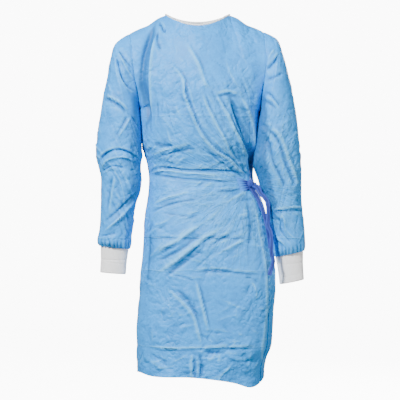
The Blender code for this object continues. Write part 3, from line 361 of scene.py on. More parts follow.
LEFT_SLEEVE_CREASES = table(
    Crease,
    ("ridge from the shoulder", ((.218, -.057), (.199, -.084), (.186, -.101)), .005, .003, 0),
    ("drag from the shoulder", ((.229, -.076), (.207, -.104), (.188, -.12)), .005, -.005, 0),
    ("second drag", ((.19, -.151), (.218, -.14), (.243, -.129)), .0045, -.0024, 0),
    ("fan crease", ((.188, -.179), (.213, -.201), (.232, -.226)), .004, -.0024, 0),
    ("fan ridge", ((.185, -.193), (.21, -.209), (.229, -.232)), .004, .0018, 0),
    ("fan crease, low", ((.182, -.204), (.204, -.218), (.224, -.232)), .0035, -.002, 0),
    ("elbow step", ((.19, -.271), (.229, -.312), (.257, -.384), (.282, -.462)), .006, 0, .003),
    ("inner arm hollow", ((.19, -.296), (.207, -.346), (.229, -.407), (.249, -.462)), .014, -.005, 0),
    ("crease at the armpit", ((.168, -.276), (.196, -.279), (.224, -.29)), .004, -.0022, 0),
    ("forearm fold", ((.206, -.516), (.249, -.511), (.3, -.51)), .004, -.0014, .0022),
    ("curved fold", ((.211, -.535), (.229, -.543), (.232, -.571), (.263, -.607)), .004, -.0024, 0),
    ("curved ridge", ((.218, -.529), (.24, -.537), (.246, -.568), (.274, -.596)), .005, .002, 0),
    ("low ridge", ((.201, -.575), (.229, -.596), (.251, -.618)), .0045, .0026, 0),
)

BACK_CREASES = table(
    Crease,
    ("upper waist fold", ((.14, -.402), (.06, -.394), (-.04, -.401), (-.136, -.398)), .006, -.0045, .0015),
    ("waist roll", ((.13, -.413), (.04, -.407), (-.05, -.414), (-.13, -.409)), .005, .0026, 0),
    ("lower waist fold", ((.135, -.43), (.04, -.424), (-.06, -.431), (-.136, -.424)), .006, -.004, 0),
    ("left blade drag", ((.11, -.13), (.07, -.26), (.02, -.38)), .013, -.006, 0),
    ("right blade drag", ((-.12, -.12), (-.085, -.25), (-.05, -.375)), .013, -.006, 0),
    ("left blade ridge", ((.085, -.11), (.05, -.24), (0, -.36)), .008, .004, -.0015),
    ("right blade ridge", ((-.095, -.1), (-.06, -.23), (-.03, -.35)), .008, .0036, .0015),
    ("middle drag", ((.01, -.2), (-.004, -.3), (.012, -.385)), .006, .0022, .0018),
    ("left skirt fall", ((.085, -.47), (.095, -.65), (.11, -.9)), .016, -.006, 0),
    ("middle skirt fall", ((.01, -.46), (0, -.7), (-.01, -.96)), .013, .006, 0),
    ("right skirt fall", ((-.08, -.47), (-.092, -.7), (-.105, -.93)), .016, -.006, 0),
    ("seat ridge", ((-.12, -.52), (-.04, -.56), (.06, -.6), (.13, -.61)), .008, .003, .001),
    ("packing crease, high", ((-.15, -.591), (0, -.588), (.167, -.591)), .0045, -.0018, .0008),
    ("packing crease, low", ((-.15, -.905), (.01, -.901), (.18, -.903)), .0045, .002, .0015),
    ("slanted skirt ridge", ((.12, -.68), (.06, -.76), (.02, -.86)), .005, .002, -.0016),
    ("slanted skirt crease", ((-.12, -.7), (-.07, -.77), (-.045, -.85)), .005, -.002, .001),
    ("hem fold", ((.004, -.925), (.008, -.99)), .006, -.003, .002),
)
RIGHT_SLEEVE_BACK = table(
    Crease,
    ("drag to the armhole", ((-.24, -.09), (-.215, -.13), (-.185, -.15)), .006, -.004, 0),
    ("upper arm ridge", ((-.262, -.16), (-.225, -.205), (-.185, -.235)), .007, .003, 0),
    ("elbow fold", ((-.276, -.35), (-.24, -.372), (-.2, -.368), (-.168, -.345)), .007, -.005, 0),
    ("elbow roll", ((-.272, -.372), (-.238, -.39), (-.195, -.386)), .006, .003, 0),
    ("forearm fall", ((-.225, -.43), (-.232, -.52), (-.228, -.585)), .008, -.003, .0015),
)
LEFT_SLEEVE_BACK = table(
    Crease,
    ("drag to the armhole", ((.245, -.085), (.22, -.128), (.192, -.152)), .006, -.004, 0),
    ("upper arm ridge", ((.262, -.15), (.23, -.2), (.195, -.232)), .007, .003, 0),
    ("elbow fold", ((.284, -.36), (.25, -.385), (.21, -.38), (.18, -.356)), .007, -.005, 0),
    ("elbow roll", ((.28, -.382), (.246, -.402), (.206, -.398)), .006, .003, 0),
    ("forearm fall", ((.235, -.44), (.248, -.53), (.25, -.6)), .008, -.003, -.0015),
)

SLEEVE_CREASES = {
    "right": (RIGHT_SLEEVE_CREASES, RIGHT_SLEEVE_BACK),
    "left": (LEFT_SLEEVE_CREASES, LEFT_SLEEVE_BACK),
}
SLEEVE_CREASES_DEEPER = 1.35

# A crease's steep and gentle side, the share of its length over which it fades, and what is left there
CREASE_STEEP, CREASE_GENTLE = 3.4, 1.3
CREASE_ENDS_SHARE = 0.22
CREASE_LEFT_AT_ENDS = 0.12
# The small creases' steep and gentle side, and the girth that one degree round the body stands for
CRUMPLE_STEEP, CRUMPLE_GENTLE = 2.2, 0.8
GIRTH_PER_DEGREE = 0.003
# The crumpled facets: how many to the metre, and their depth in metres
CRUMPLE_SCALES = ((12.0, 0.0036), (26.0, 0.0030), (55.0, 0.0016))

# How far the dip beside a seam reaches, and where the hem waves and how far up
SEAM_DIP_REACH = 0.0035
HEM_WAVE_AT, HEM_WAVE_REACH = -0.985, 0.035
# The rows and columns of the grids that are sewn along, and how much of its pitch a stitch takes
HEM_SEWN_ROW = 4
EDGE_SEWN_COLUMN = 3
SLEEVE_SEWN_ROW = 2
STITCH_SHARE = 0.65
NECK_STITCH_SHARE = 0.7

# Painted shade in the hollows and painted highlight on the ridges, both set by the cavity: rounds of
# smoothing, and the depth that counts in full; then the large creases' depth that counts in full, what
# counts on a ridge, and their share
CAVITY_ROUNDS = 5
CAVITY_DEPTH = 0.0032
FULLY_SUNK, SUNK_ON_RIDGE, SUNK_SHARE = 0.0058, -0.5, 0.65
# Where the body shades the sleeves' inner sides: by height, by the cosine round the sleeve, and how far
ARM_SHADE_STARTS = (-0.12, -0.24)
ARM_SHADE_ENDS = (-0.60, -0.46)
ARM_SHADE_ROUND = (-0.30, -0.66)
ARM_SHADE = {"left": 1.0, "right": 0.40}

# Where the outer back panel comes down to the shoulder seam, and how near to the free edge it comes down
SHOULDER_SETTLES_LEVELS = (1.80, 1.97)
SHOULDER_SETTLES_ANGLES = (202, 225)
EDGE_SETTLES_OVER = 0.02

# Where a sleeve lies against the body: side, height, half height, and how far its inner side comes over
SLEEVE_LIES_ON = (
    ("left", -0.300, 0.070, -0.0060),
    ("left", -0.380, 0.036, -0.0120),
    ("right", -0.255, 0.050, 0.0050),
)
# The gathers above a cuff: the power that sharpens them, their share of the depth, and where and how far
# along the sleeve they reach; then the number of long ones, and how near to the cuff the creases end
Gather = namedtuple("Gather", "power share middle reach")
SHORT_GATHER = Gather(0.7, 1.0, 0.007, 0.016)
LONG_GATHER = Gather(1.5, 0.8, 0.022, 0.026)
LONG_GATHERS = 9
CUFF_FADE = 0.006

# The cuff: its soft wrinkles by their level, swing, width and depth, how far it is drawn in, how far and
# over what share it is turned in at each end, and its ribs' slant
Wrinkle = namedtuple("Wrinkle", "level swing width sink")
CUFF_WRINKLES = {
    "right": table(Wrinkle, (.47, .04, .030, .0011), (.60, -.03, .022, .0006)),
    "left": table(Wrinkle, (.34, .05, .030, .0006), (.78, -.04, .026, .0005)),
}
CUFF_DRAWN_IN = 0.0012
CUFF_END_TURN, CUFF_END_REACH = 0.0014, 0.018
CUFF_TOP_TURN, CUFF_TOP_REACH = 0.0008, 0.02
RIB_SLANT = 0.3

# The ties: how much taller the gathered stretch and the knot are than the imported ones, where the tape's
# fold, which the finish paints in shade, is along its UV, and how much wider a tail is at the knot and
# over what share of its length
GATHER_TALLER = 1.55
KNOT_TALLER = 1.20
GROOVE_AT = 0.25
TAIL_WIDER = 0.60
TAIL_WIDE_SHARE = 0.13
# Where the drag lines run together, across and up; and the packing creases: height, half width, share
KNOT_AT = (0.150, -0.436)
PACKING_LINES = (
    (-0.590, 0.0030, 0.8),
    (-0.681, 0.0030, 0.7),
    (-0.892, 0.0030, 0.7),
    (-0.250, 0.0028, 0.35),
)

# Where the cloth is crumpled: a middle and half sizes, in metres round the body and up it, then how
# many small creases, their length, width and depth, and their slant and its spread in degrees
Crumple = namedtuple(
    "Crumple", "name across height half_across half_height count length width depth slant spread"
)
BODY_SEED = 11
SLEEVE_SEEDS = {"right": 21, "left": 34}
BODY_CRUMPLES = table(
    Crumple,
    ("upper chest", 0, -.11, .16, .08, 26, .034, .0032, .0008, -40, 60),
    ("chest drag lines", .03, -.25, .13, .1, 46, .06, .0032, .0012, -62, 12),
    ("chest", -.06, -.26, .16, .1, 30, .036, .0034, .001, -75, 28),
    ("waist", -.02, -.37, .24, .04, 60, .036, .0034, .0014, 10, 35),
    ("towards the knot", .12, -.36, .07, .05, 30, .044, .0032, .0015, -52, 14),
    ("fan below the knot", .08, -.46, .1, .025, 26, .04, .0032, .0013, 22, 16),
    ("upper skirt", 0, -.49, .24, .06, 46, .04, .0036, .0012, 18, 30),
    ("upper skirt drags", -.05, -.6, .13, .07, 30, .06, .0036, .0014, 33, 10),
    ("skirt", 0, -.68, .25, .13, 76, .044, .0036, .0012, 20, 70),
    ("low skirt", 0, -.84, .25, .1, 60, .04, .0034, .0009, -20, 80),
    ("centre of the low crease", .03, -.89, .06, .045, 40, .016, .0028, .0015, 30, 90),
    ("under the low crease", -.02, -.945, .2, .03, 30, .026, .0034, .0014, 15, 50),
    ("left side", .27, -.7, .06, .28, 40, .04, .0038, .0012, 75, 40),
    ("blades", .54, -.17, .22, .14, 56, .04, .0036, .0011, 60, 60),
    ("back of the waist", .54, -.4, .24, .06, 64, .036, .0036, .0014, 0, 30),
    ("back of the skirt", .54, -.68, .26, .24, 120, .044, .0038, .0012, 60, 70),
    ("right side", .78, -.62, .05, .34, 46, .04, .0038, .0012, 80, 40),
    ("right side in front", -.24, -.62, .04, .34, 34, .04, .0034, .0012, 80, 40),
)
SLEEVE_GIRTH = 0.34
SLEEVE_CRUMPLES = table(
    Crumple,
    ("shoulder", .1, -.06, .17, .05, 26, .026, .0038, .0009, -50, 50),
    ("upper arm", .17, -.18, .17, .08, 46, .032, .004, .0011, -30, 60),
    ("elbow", .17, -.34, .17, .06, 60, .03, .0038, .0015, 10, 45),
    ("forearm", .17, -.5, .17, .09, 56, .036, .004, .0011, 60, 50),
    ("above the cuff", .17, -.62, .17, .035, 40, .024, .0034, .0011, 70, 40),
)


def smooth_read(keys, values, at):
    """A smooth curve through (key, value), with each point's slope the mean of its neighbours'."""
    keys = np.asarray(keys, float)
    values = np.asarray(values, float)
    slopes = np.gradient(values, keys)
    at = np.clip(at, keys[0], keys[-1])
    i = np.clip(np.searchsorted(keys, at) - 1, 0, len(keys) - 2)
    step = keys[i + 1] - keys[i]
    f = (at - keys[i]) / step
    rise = f * f * (3 - 2 * f)
    start = f * (1 - f) ** 2
    end = f * f * (f - 1)
    return values[i] * (1 - rise) + values[i + 1] * rise + step * (slopes[i] * start + slopes[i + 1] * end)


def read(table, key, column, at):
    """One column of a table, read smoothly at any value of its key column."""
    rows = sorted(table, key=lambda row: getattr(row, key))
    return smooth_read([getattr(r, key) for r in rows], [getattr(r, column) for r in rows], at)


def ease(low, high, at):
    """0 below low, 1 above high, smooth between; low may be the larger."""
    f = np.clip((np.asarray(at, float) - low) / (high - low), 0, 1)
    return f * f * (3 - 2 * f)


def unit(vectors):
    return vectors / np.maximum(np.linalg.norm(vectors, axis=-1, keepdims=True), 1e-12)


def squareness(angle, height):
    """The superellipse's power, which is larger at the skirt's left front corner."""
    plain = read(BODY, "height", "round", height)
    corner = read(BODY, "height", "corner", height)
    turn = np.mod(angle + 180, 360) - 180
    near = ease(*CORNER_COMES, turn) * ease(*CORNER_GOES, turn)
    return plain + (corner - plain) * near


def unit_ring(angle, height):
    """A unit superellipse: (across, towards the front) at an angle from the front centre."""
    a = np.radians(angle)
    s, c = np.sin(a), np.cos(a)
    n = squareness(angle, height)
    radius = (np.abs(s) ** n + np.abs(c) ** n) ** (-1 / n)
    return radius * s, radius * c


def lower_body(angle, level):
    """Rings between the hem, level 0, and the armpits, level 1."""
    hem = read(HEM, "angle", "height", np.where(angle > 270, angle - 360, angle))
    side = (1 + np.sin(np.radians(angle))) / 2
    armpit = ARMPIT_HEIGHT["right"] + (ARMPIT_HEIGHT["left"] - ARMPIT_HEIGHT["right"]) * side
    z = hem + (armpit - hem) * level
    across, ahead = unit_ring(angle, z)
    right = read(BODY, "height", "right", z)
    left = read(BODY, "height", "left", z)
    front = read(BODY, "height", "front", z)
    back = read(BODY, "height", "back", z)
    x = (right + left) / 2 + (left - right) / 2 * across
    y = np.where(ahead > 0, front * ahead, -back * ahead)
    return np.stack([x, y, z], axis=-1)


def armhole_half(rise):
    """How far the armhole's edge stands from its middle, front or back: a rounded loop."""
    return ARMHOLE_HALF_DEPTH * (1 - np.abs(2 * rise - 1) ** ARMHOLE_ROUNDNESS) ** 0.5


def armhole_point(side, rise, towards):
    """A point of the armhole's edge; towards is -1 for its front half and 1 for its back half."""
    x = read(ARMHOLES[side], "rise", "across", rise)
    y = NECK_MIDDLE_Y * rise + towards * armhole_half(rise)
    z = ARMPIT_HEIGHT[side] + (TIP_HEIGHT[side] - ARMPIT_HEIGHT[side]) * rise
    return np.stack([x, y, z], axis=-1)


def top_edge(share, back):
    """The shoulder seams and the neck edge: share is -1 to 1 from the right tip to the left tip."""
    size = np.abs(share)
    sign = np.sign(share)
    turn = np.clip(size / NECK_SHARE, 0, 1) * math.pi / 2
    low = np.where(back, NECK_BACK_HEIGHT, NECK_FRONT_HEIGHT)
    depth = np.where(back, NECK_BACK_DEPTH, -NECK_FRONT_DEPTH)
    neck_x = NECK_HALF_WIDTH * np.sin(turn) * sign
    neck_y = NECK_MIDDLE_Y + depth * np.cos(turn)
    neck_z = NECK_SIDE_HEIGHT + (low - NECK_SIDE_HEIGHT) * np.cos(turn) ** 2
    out = np.clip((size - NECK_SHARE) / (1 - NECK_SHARE), 0, 1)
    tip = np.where(share > 0, ARMHOLES["left"][-1].across, -ARMHOLES["right"][-1].across)
    across = NECK_HALF_WIDTH + (tip - NECK_HALF_WIDTH) * out
    shoulder_z = read(SHOULDER_LINE, "across", "height", across)
    end = np.where(share > 0, TIP_HEIGHT["left"], TIP_HEIGHT["right"])
    shoulder_z = shoulder_z + (end - read(SHOULDER_LINE, "across", "height", tip)) * out
    on_neck = size <= NECK_SHARE
    x = np.where(on_neck, neck_x, across * sign)
    y = np.where(on_neck, neck_y, NECK_MIDDLE_Y)
    z = np.where(on_neck, neck_z, shoulder_z)
    return x, y, z


def upper_body(angle, rise):
    """Rows between the armpits, rise 0, and the shoulder and neck edge, rise 1.

    Each row runs from one armhole edge to the other. Each column goes up from the chest ring and
    turns back over the shoulder, more sharply the nearer it is to the shoulder tip.
    """
    back = angle > 90
    share = np.where(back, 180 - angle, angle) / 90
    side = (1 + np.sin(np.radians(angle))) / 2
    right = armhole_point("right", rise, -1)
    left = armhole_point("left", rise, -1)
    across, ahead = unit_ring(angle, np.full(np.shape(angle), BODY[0].height))
    top_x, top_y, top_z = top_edge(share, back)
    tip_left = ARMHOLES["left"][-1].across
    tip_right = ARMHOLES["right"][-1].across
    top_across = (top_x - (tip_left + tip_right) / 2) / ((tip_left - tip_right) / 2)
    blend = ease(0, 1, rise) * rise ** 0.5
    spread = across + (top_across - across) * blend
    x = (right[..., 0] + left[..., 0]) / 2 + (left[..., 0] - right[..., 0]) / 2 * spread
    tips = TIP_HEIGHT["right"] + (TIP_HEIGHT["left"] - TIP_HEIGHT["right"]) * side
    level_z = right[..., 2] + (left[..., 2] - right[..., 2]) * side
    z = level_z + (top_z - tips) * rise ** RISE_POWER
    on_shoulder = ease(NECK_SHARE * 0.55, NECK_SHARE * 1.25, np.abs(share))
    power = TURN_POWER_AT_NECK + (TURN_POWER_ON_SHOULDER - TURN_POWER_AT_NECK) * on_shoulder
    turn = 1.0 / (1.0 + TURN_ROUNDNESS_ON_SHOULDER * on_shoulder)
    left_over = np.clip(1 - rise ** power, 0, 1) ** turn
    chest = np.where(back, BODY[0].back, BODY[0].front)
    column_y = top_y + (chest - top_y) * left_over
    edge_y = NECK_MIDDLE_Y * rise + np.where(back, 1, -1) * armhole_half(rise)
    inside = np.abs(ahead)
    local = ease(ARMPIT_EFFECT_ENDS, 0, rise)
    edge_power = EDGE_WEIGHT_POWER + (EDGE_WEIGHT_AT_ARMPIT - EDGE_WEIGHT_POWER) * local
    y = edge_y * (1 - inside) ** edge_power + column_y * inside
    return np.stack([x, y, z], axis=-1)


def smooth_body(angle, level):
    """The body's surface without its folds."""
    angle, level = np.broadcast_arrays(np.asarray(angle, float), np.asarray(level, float))
    low = lower_body(angle, np.clip(level, 0, 1))
    high = upper_body(angle, np.clip(level - 1, 0, 1))
    return np.where(level[..., None] <= 1, low, high)


def grid_normals(points, closed=False):
    """Normals of a grid of rows and columns, by the cross product of its two directions."""
    up = np.gradient(points, axis=0)
    if closed:
        round_ = (np.roll(points, -1, axis=1) - np.roll(points, 1, axis=1)) / 2
    else:
        round_ = np.gradient(points, axis=1)
    return unit(np.cross(round_, up))


def wrap_lift(angle, level):
    """How far the outer back panel lies outside the inner one."""
    at_neck = ease(*NECK_LIFT_LEVELS, level)
    lift = WRAP_LIFT + (WRAP_LIFT_AT_NECK - WRAP_LIFT) * at_neck
    lift = lift + (WRAP_LIFT_ON_FRONT - WRAP_LIFT) * ease(*FRONT_LIFT_ANGLES, angle)
    return lift * ease(LIFT_STARTS, LIFT_ENDS, angle)


def armhole_loop(side, turn):
    """The armhole's edge in the sleeve's own order, moved out from the body by the seam's gap."""
    rise = (1 + np.cos(turn)) / 2
    front = armhole_point(side, rise, -1)
    back = armhole_point(side, rise, 1)
    loop = np.where((np.sin(turn) >= 0)[:, None], front, back)
    loop[:, 0] += (SEAM_GAP + SEAM_CLEAR) * (1 if side == "left" else -1)
    return loop


def level_at(angle, height):
    """The levels of some heights below the armpits: straight shares of the way from hem to armpit."""
    bottom, top = (smooth_body(angle, np.full(angle.shape, level))[..., 2] for level in (0.0, 1.0))
    return (height - bottom) / (top - bottom)


def ran_along(points):
    """The distance run along a line up to each of its points."""
    return np.concatenate([[0], np.cumsum(np.linalg.norm(np.diff(points, axis=0), axis=1))])


def read_rows(at, ran, rows):
    """Points or directions of a line, read straight at distances along it."""
    return np.stack([np.interp(at, ran, rows[:, i]) for i in range(3)], axis=-1)


def smooth_line(points, steps):
    """A curve through some points: each coordinate is read smoothly against the point's number."""
    points = np.array(points, float)
    keys = np.arange(len(points))
    at = np.linspace(0, len(points) - 1, steps)
    return np.stack([smooth_read(keys, points[:, i], at) for i in range(points.shape[1])], axis=-1)


def one_crease(x, z, line, crease):
    """The height of one crease at some points.

    u is the distance from the line over the width, above 0 on the line's left. The ridge is
    ridge * e^(-steep (root(u^2 + 0.03) - 0.17)), a tent with one steep and one gentle side, and the
    step is step * 1.6 u e^(-u^2 / 1.5). Both fade towards the line's two ends and swell along it by
    1 + 0.22 sin(11 share), with a phase of the line's own.
    """
    start = line[:-1]
    run = np.diff(line, axis=0)
    length = np.linalg.norm(run, axis=1)
    run = run / length[:, None]
    ran = np.concatenate([[0], np.cumsum(length)])
    away = np.stack([x, z], axis=-1)[:, None, :] - start
    t = np.clip(np.sum(away * run, axis=-1), 0, length)
    off = away - run * t[..., None]
    gap = np.linalg.norm(off, axis=-1)
    best = np.argmin(gap, axis=1)
    pick = np.arange(len(x))
    nearest = off[pick, best]
    side = np.sign(run[best, 0] * nearest[:, 1] - run[best, 1] * nearest[:, 0])
    along = (ran[best] + t[pick, best]) / ran[-1]
    u = gap[pick, best] / crease.width * side
    inside = ease(0, CREASE_ENDS_SHARE, along) * ease(1, 1 - CREASE_ENDS_SHARE, along)
    swell = 1 + 0.22 * np.sin(11 * along + 60 * line[0, 0] + 40 * line[0, 1])
    full = (CREASE_LEFT_AT_ENDS + (1 - CREASE_LEFT_AT_ENDS) * inside) * swell
    steep = np.where(u > 0, CREASE_GENTLE, CREASE_STEEP)
    ridge = crease.ridge * np.exp(-steep * (np.sqrt(u * u + 0.03) - 0.17))
    step = crease.step * 1.6 * u * np.exp(-u * u / 1.5)
    return (ridge + step) * full


def crease_height(x, z, creases):
    """The heights of all the creases in a table, summed; each is worked out only near its line."""
    total = np.zeros(np.shape(x))
    for crease in creases:
        line = smooth_line(crease.line, 6 * (len(crease.line) - 1) + 1)
        reach = 4 * crease.width
        low = line.min(axis=0) - reach
        high = line.max(axis=0) + reach
        near = (x > low[0]) & (x < high[0]) & (z > low[1]) & (z < high[1])
        if near.any():
            total[near] += one_crease(x[near], z[near], line, crease)
    return total


def crumple_height(across, height, zones, seed, turn=None):
    """Small creases strewn over the zones of a table, each a short bent line with a sharp top.

    With v across the crease and w along it, in lengths of the crease, one adds
    depth * e^(-steep (root(v^2 + 0.04) - 0.2)) * (1 - w^2)^2, steep on one side and gentle on the
    other, and v bends by the square of w.
    Where turn is given, the coordinate across comes round again after it.
    """
    rng = np.random.default_rng(seed)
    total = np.zeros(np.shape(across))
    for zone in zones:
        for _ in range(zone.count):
            middle = zone.across + zone.half_across * rng.uniform(-1, 1)
            level = zone.height + zone.half_height * rng.uniform(-1, 1)
            length = zone.length * rng.uniform(0.45, 1.5)
            width = zone.width * rng.uniform(0.6, 1.4)
            depth = zone.depth * rng.uniform(0.35, 1.3) * rng.choice([-1, 1])
            slant = math.radians(zone.slant + zone.spread * rng.uniform(-1, 1) + 180 * rng.integers(2))
            bend = rng.uniform(-0.28, 0.28) * length
            x = across - middle
            if turn is not None:
                x = np.mod(x + turn / 2, turn) - turn / 2
            z = height - level
            near = (np.abs(x) < length + 4 * width) & (np.abs(z) < length + 4 * width)
            if not near.any():
                continue
            w = (x[near] * math.cos(slant) + z[near] * math.sin(slant)) / length
            v = (z[near] * math.cos(slant) - x[near] * math.sin(slant) - bend * w * w) / width
            fade = np.clip(1 - w * w, 0, 1) ** 2
            steep = np.where(v > 0, CRUMPLE_STEEP, CRUMPLE_GENTLE)
            total[near] += depth * np.exp(-steep * (np.sqrt(v * v + 0.04) - 0.2)) * fade
    return total


def cavity(lift, closed=False):
    """How far each point lies under the cloth round it, from 0 on a ridge through 0.5 to 1 in a trough.

    The cloth round it is the lift after CAVITY_ROUNDS rounds of taking the mean of a point's neighbours.
    The cloth's finish paints shade in the troughs and highlight on the ridges by this value.
    """
    soft = lift.copy()
    for _ in range(CAVITY_ROUNDS):
        if closed:
            soft = (2 * soft + np.roll(soft, 1, axis=1) + np.roll(soft, -1, axis=1)) / 4
        else:
            soft[:, 1:-1] = (2 * soft[:, 1:-1] + soft[:, 2:] + soft[:, :-2]) / 4
        soft[1:-1] = (2 * soft[1:-1] + soft[2:] + soft[:-2]) / 4
    return np.clip(0.5 + (soft - lift) / CAVITY_DEPTH, 0, 1)


def panel_levels():
    """Rows from the hem to the shoulders; in the yoke their spacing follows a cosine."""
    rows = [np.linspace(rows.start, rows.end, rows.count + 1)[1:] for rows in PANEL_ROWS]
    steps = np.arange(1, YOKE_ROWS + 1) / YOKE_ROWS
    yoke = 1 + (1 - np.cos(math.pi * steps)) / 2
    return np.concatenate([[0.0], *rows, yoke])


def run_along(points, axis, from_end):
    """The distance of each grid point from one edge of the grid, along its row or its column."""
    steps = np.linalg.norm(np.diff(points, axis=axis), axis=-1)
    zero = np.zeros_like(np.take(steps, [0], axis=axis))
    if from_end:
        ran = np.flip(np.cumsum(np.flip(steps, axis), axis=axis), axis)
        return np.concatenate([ran, zero], axis=axis)
    return np.concatenate([zero, np.cumsum(steps, axis=axis)], axis=axis)


def large_creases(points, normals, tables, corner=0.0):
    """The creases' heights, from a table for the front and one for the back, each times how far the
    surface faces that way; corner is how far a part that faces the side takes the front's creases."""
    x, z = points[..., 0], points[..., 2]
    ahead = np.maximum(ease(*FACING_TAKES_CREASES, -normals[..., 1]), corner)
    behind = ease(*FACING_TAKES_CREASES, normals[..., 1])
    return ahead * crease_height(x, z, tables[0]) + behind * crease_height(x, z, tables[1])


def body_panel(angle, level, seams, cloth, extra_lift=0.0):
    """The body's surface with its creases, crumple and seams, on a grid of levels and angles, its
    normals, and how far each point is in a hollow.

    The lift along the normal is the creases' height times how far the surface faces the front or the
    back, plus the crumple and the hem's wave. All fade out within seam_fade of a seam, where the cloth
    dips by seam_roll * e^(-(distance / SEAM_DIP_REACH)^2). A hollow is the cavity of the lift, plus a
    share of how far the large creases sink there; the finish paints shade in the hollows and highlight
    on the ridges by it.
    """
    points = smooth_body(angle, level)
    normals = grid_normals(points)
    height = points[..., 2]
    low_front = (points[..., 1] < CORNER_BEHIND_Y) & (height < CORNER_BELOW_Z)
    corner = ease(*CORNER_TAKES_CREASES, normals[..., 0]) * low_front
    lift = large_creases(points, normals, (FRONT_CREASES, BACK_CREASES), corner) * cloth.crease_scale
    sunk = np.clip(-lift / FULLY_SUNK, SUNK_ON_RIDGE, 1)
    around = angle * GIRTH_PER_DEGREE
    lift += crumple_height(around, height, BODY_CRUMPLES, BODY_SEED) * cloth.crumple_scale
    wave = np.sin(angle / 9.0 + 1.4 * np.sin(angle / 23.0))
    lift += cloth.hem_wave * wave * np.exp(-(((height - HEM_WAVE_AT) / HEM_WAVE_REACH) ** 2))
    distance = np.full(angle.shape, 1.0)
    for axis, from_end in seams:
        distance = np.minimum(distance, run_along(points, axis, from_end))
    lift *= ease(0, cloth.seam_fade, distance)
    lift -= cloth.seam_roll * np.exp(-((distance / SEAM_DIP_REACH) ** 2))
    points = points + normals * (lift + extra_lift)[..., None]
    # The last value is the hollow, by which the finish paints shade and highlight
    return points, grid_normals(points), np.clip(cavity(lift) + SUNK_SHARE * sunk, 0, 1)


def turned_out(vertices, faces):
    """The faces, reversed if the closed mesh's volume, a sum of corner products, is below 0."""
    a, b, c, d = (vertices[faces[:, i]] for i in range(4))
    volume = np.sum(a * np.cross(b, c)) + np.sum(a * np.cross(c, d))
    return faces if volume > 0 else faces[:, ::-1]


def placed(name, data):
    """An object of a mesh, lamp or camera, linked to the scene."""
    made = bpy.data.objects.new(name, data)
    bpy.context.scene.collection.objects.link(made)
    return made


SMOOTH_UNDER = 50


def mesh_piece(name, vertices, faces, finish, values=None, uv=None):
    """A mesh object from arrays, with a value for each vertex and a UV for each vertex if given."""
    vertices = np.asarray(vertices, float)
    faces = turned_out(vertices, np.asarray(faces, int))
    mesh = bpy.data.meshes.new(name)
    mesh.from_pydata(vertices.tolist(), [], faces.tolist())
    mesh.shade_smooth()
    mesh.set_sharp_from_angle(angle=math.radians(SMOOTH_UNDER))
    for key, numbers in (values or {}).items():
        layer = mesh.attributes.new(key, "FLOAT", "POINT")
        layer.data.foreach_set("value", np.asarray(numbers, np.float32).ravel())
    if uv is not None:
        corners = np.zeros(len(mesh.loops), int)
        mesh.loops.foreach_get("vertex_index", corners)
        layer = mesh.uv_layers.new(name="UVMap")
        layer.data.foreach_set("uv", np.asarray(uv, np.float32)[corners].ravel())
    mesh.materials.append(finish)
    return placed(name, mesh)


def grid_faces(rows, columns, closed, ends_joined=False):
    """The numbers of a grid's points, and quads between its neighbouring rows and columns.

    A closed grid joins its last column to its first, and joined ends its last row to its first.
    """
    index = np.arange(rows * columns).reshape(rows, columns)
    if closed:
        index = np.concatenate([index, index[:, :1]], axis=1)
    if ends_joined:
        index = np.concatenate([index, index[:1]], axis=0)
    quads = np.stack([index[:-1, :-1], index[:-1, 1:], index[1:, 1:], index[1:, :-1]], axis=-1)
    return index, quads.reshape(-1, 4)


def tube_faces(stations, count):
    """Quads round a tube and over its two ends, which are folded flat: their points are paired across."""
    _, quads = grid_faces(stations, count, True)
    i = np.arange(count // 2 - 1)
    first = np.stack([i, i + 1, count - 2 - i, count - 1 - i], axis=-1)
    return np.concatenate([quads, first[:, ::-1], first + (stations - 1) * count])


def cloth_shell(name, outer, normals, wall, finish, closed=False, values=None):
    """A closed wall: the outer grid, the grid moved in by the wall, and quads round the open edges."""
    rows, columns = outer.shape[:2]
    inner = outer - normals * wall
    index, quads = grid_faces(rows, columns, closed)
    inside = rows * columns
    rims = [index[0][::-1], index[-1]]
    if not closed:
        rims += [index[:, 0], index[::-1, -1]]
    strips = [np.stack([r[:-1], r[1:], r[1:] + inside, r[:-1] + inside], axis=-1) for r in rims]
    faces = np.concatenate([quads, quads[:, ::-1] + inside, *strips])
    doubled = {key: np.concatenate([v.ravel(), v.ravel()]) for key, v in (values or {}).items()}
    vertices = np.concatenate([outer.reshape(-1, 3), inner.reshape(-1, 3)])
    return mesh_piece(name, vertices, faces, finish, doubled)


def carried_profile(name, path, ups, sides, profile, finish):
    """Closed profiles carried along a path, one for each station: a ring is path + side * a + up * b over
    its profile's points (a, b). The UV is the share round the profile and the distance along the path."""
    rings = path[:, None] + sides[:, None] * profile[..., :1] + ups[:, None] * profile[..., 1:2]
    stations, count = rings.shape[:2]
    uv = np.stack(np.broadcast_arrays(np.arange(count)[None, :] / count, ran_along(path)[:, None]), axis=-1)
    tone = {"tone": np.ones(stations * count)}
    faces = tube_faces(stations, count)
    return mesh_piece(name, rings.reshape(-1, 3), faces, finish, tone, uv.reshape(-1, 2))


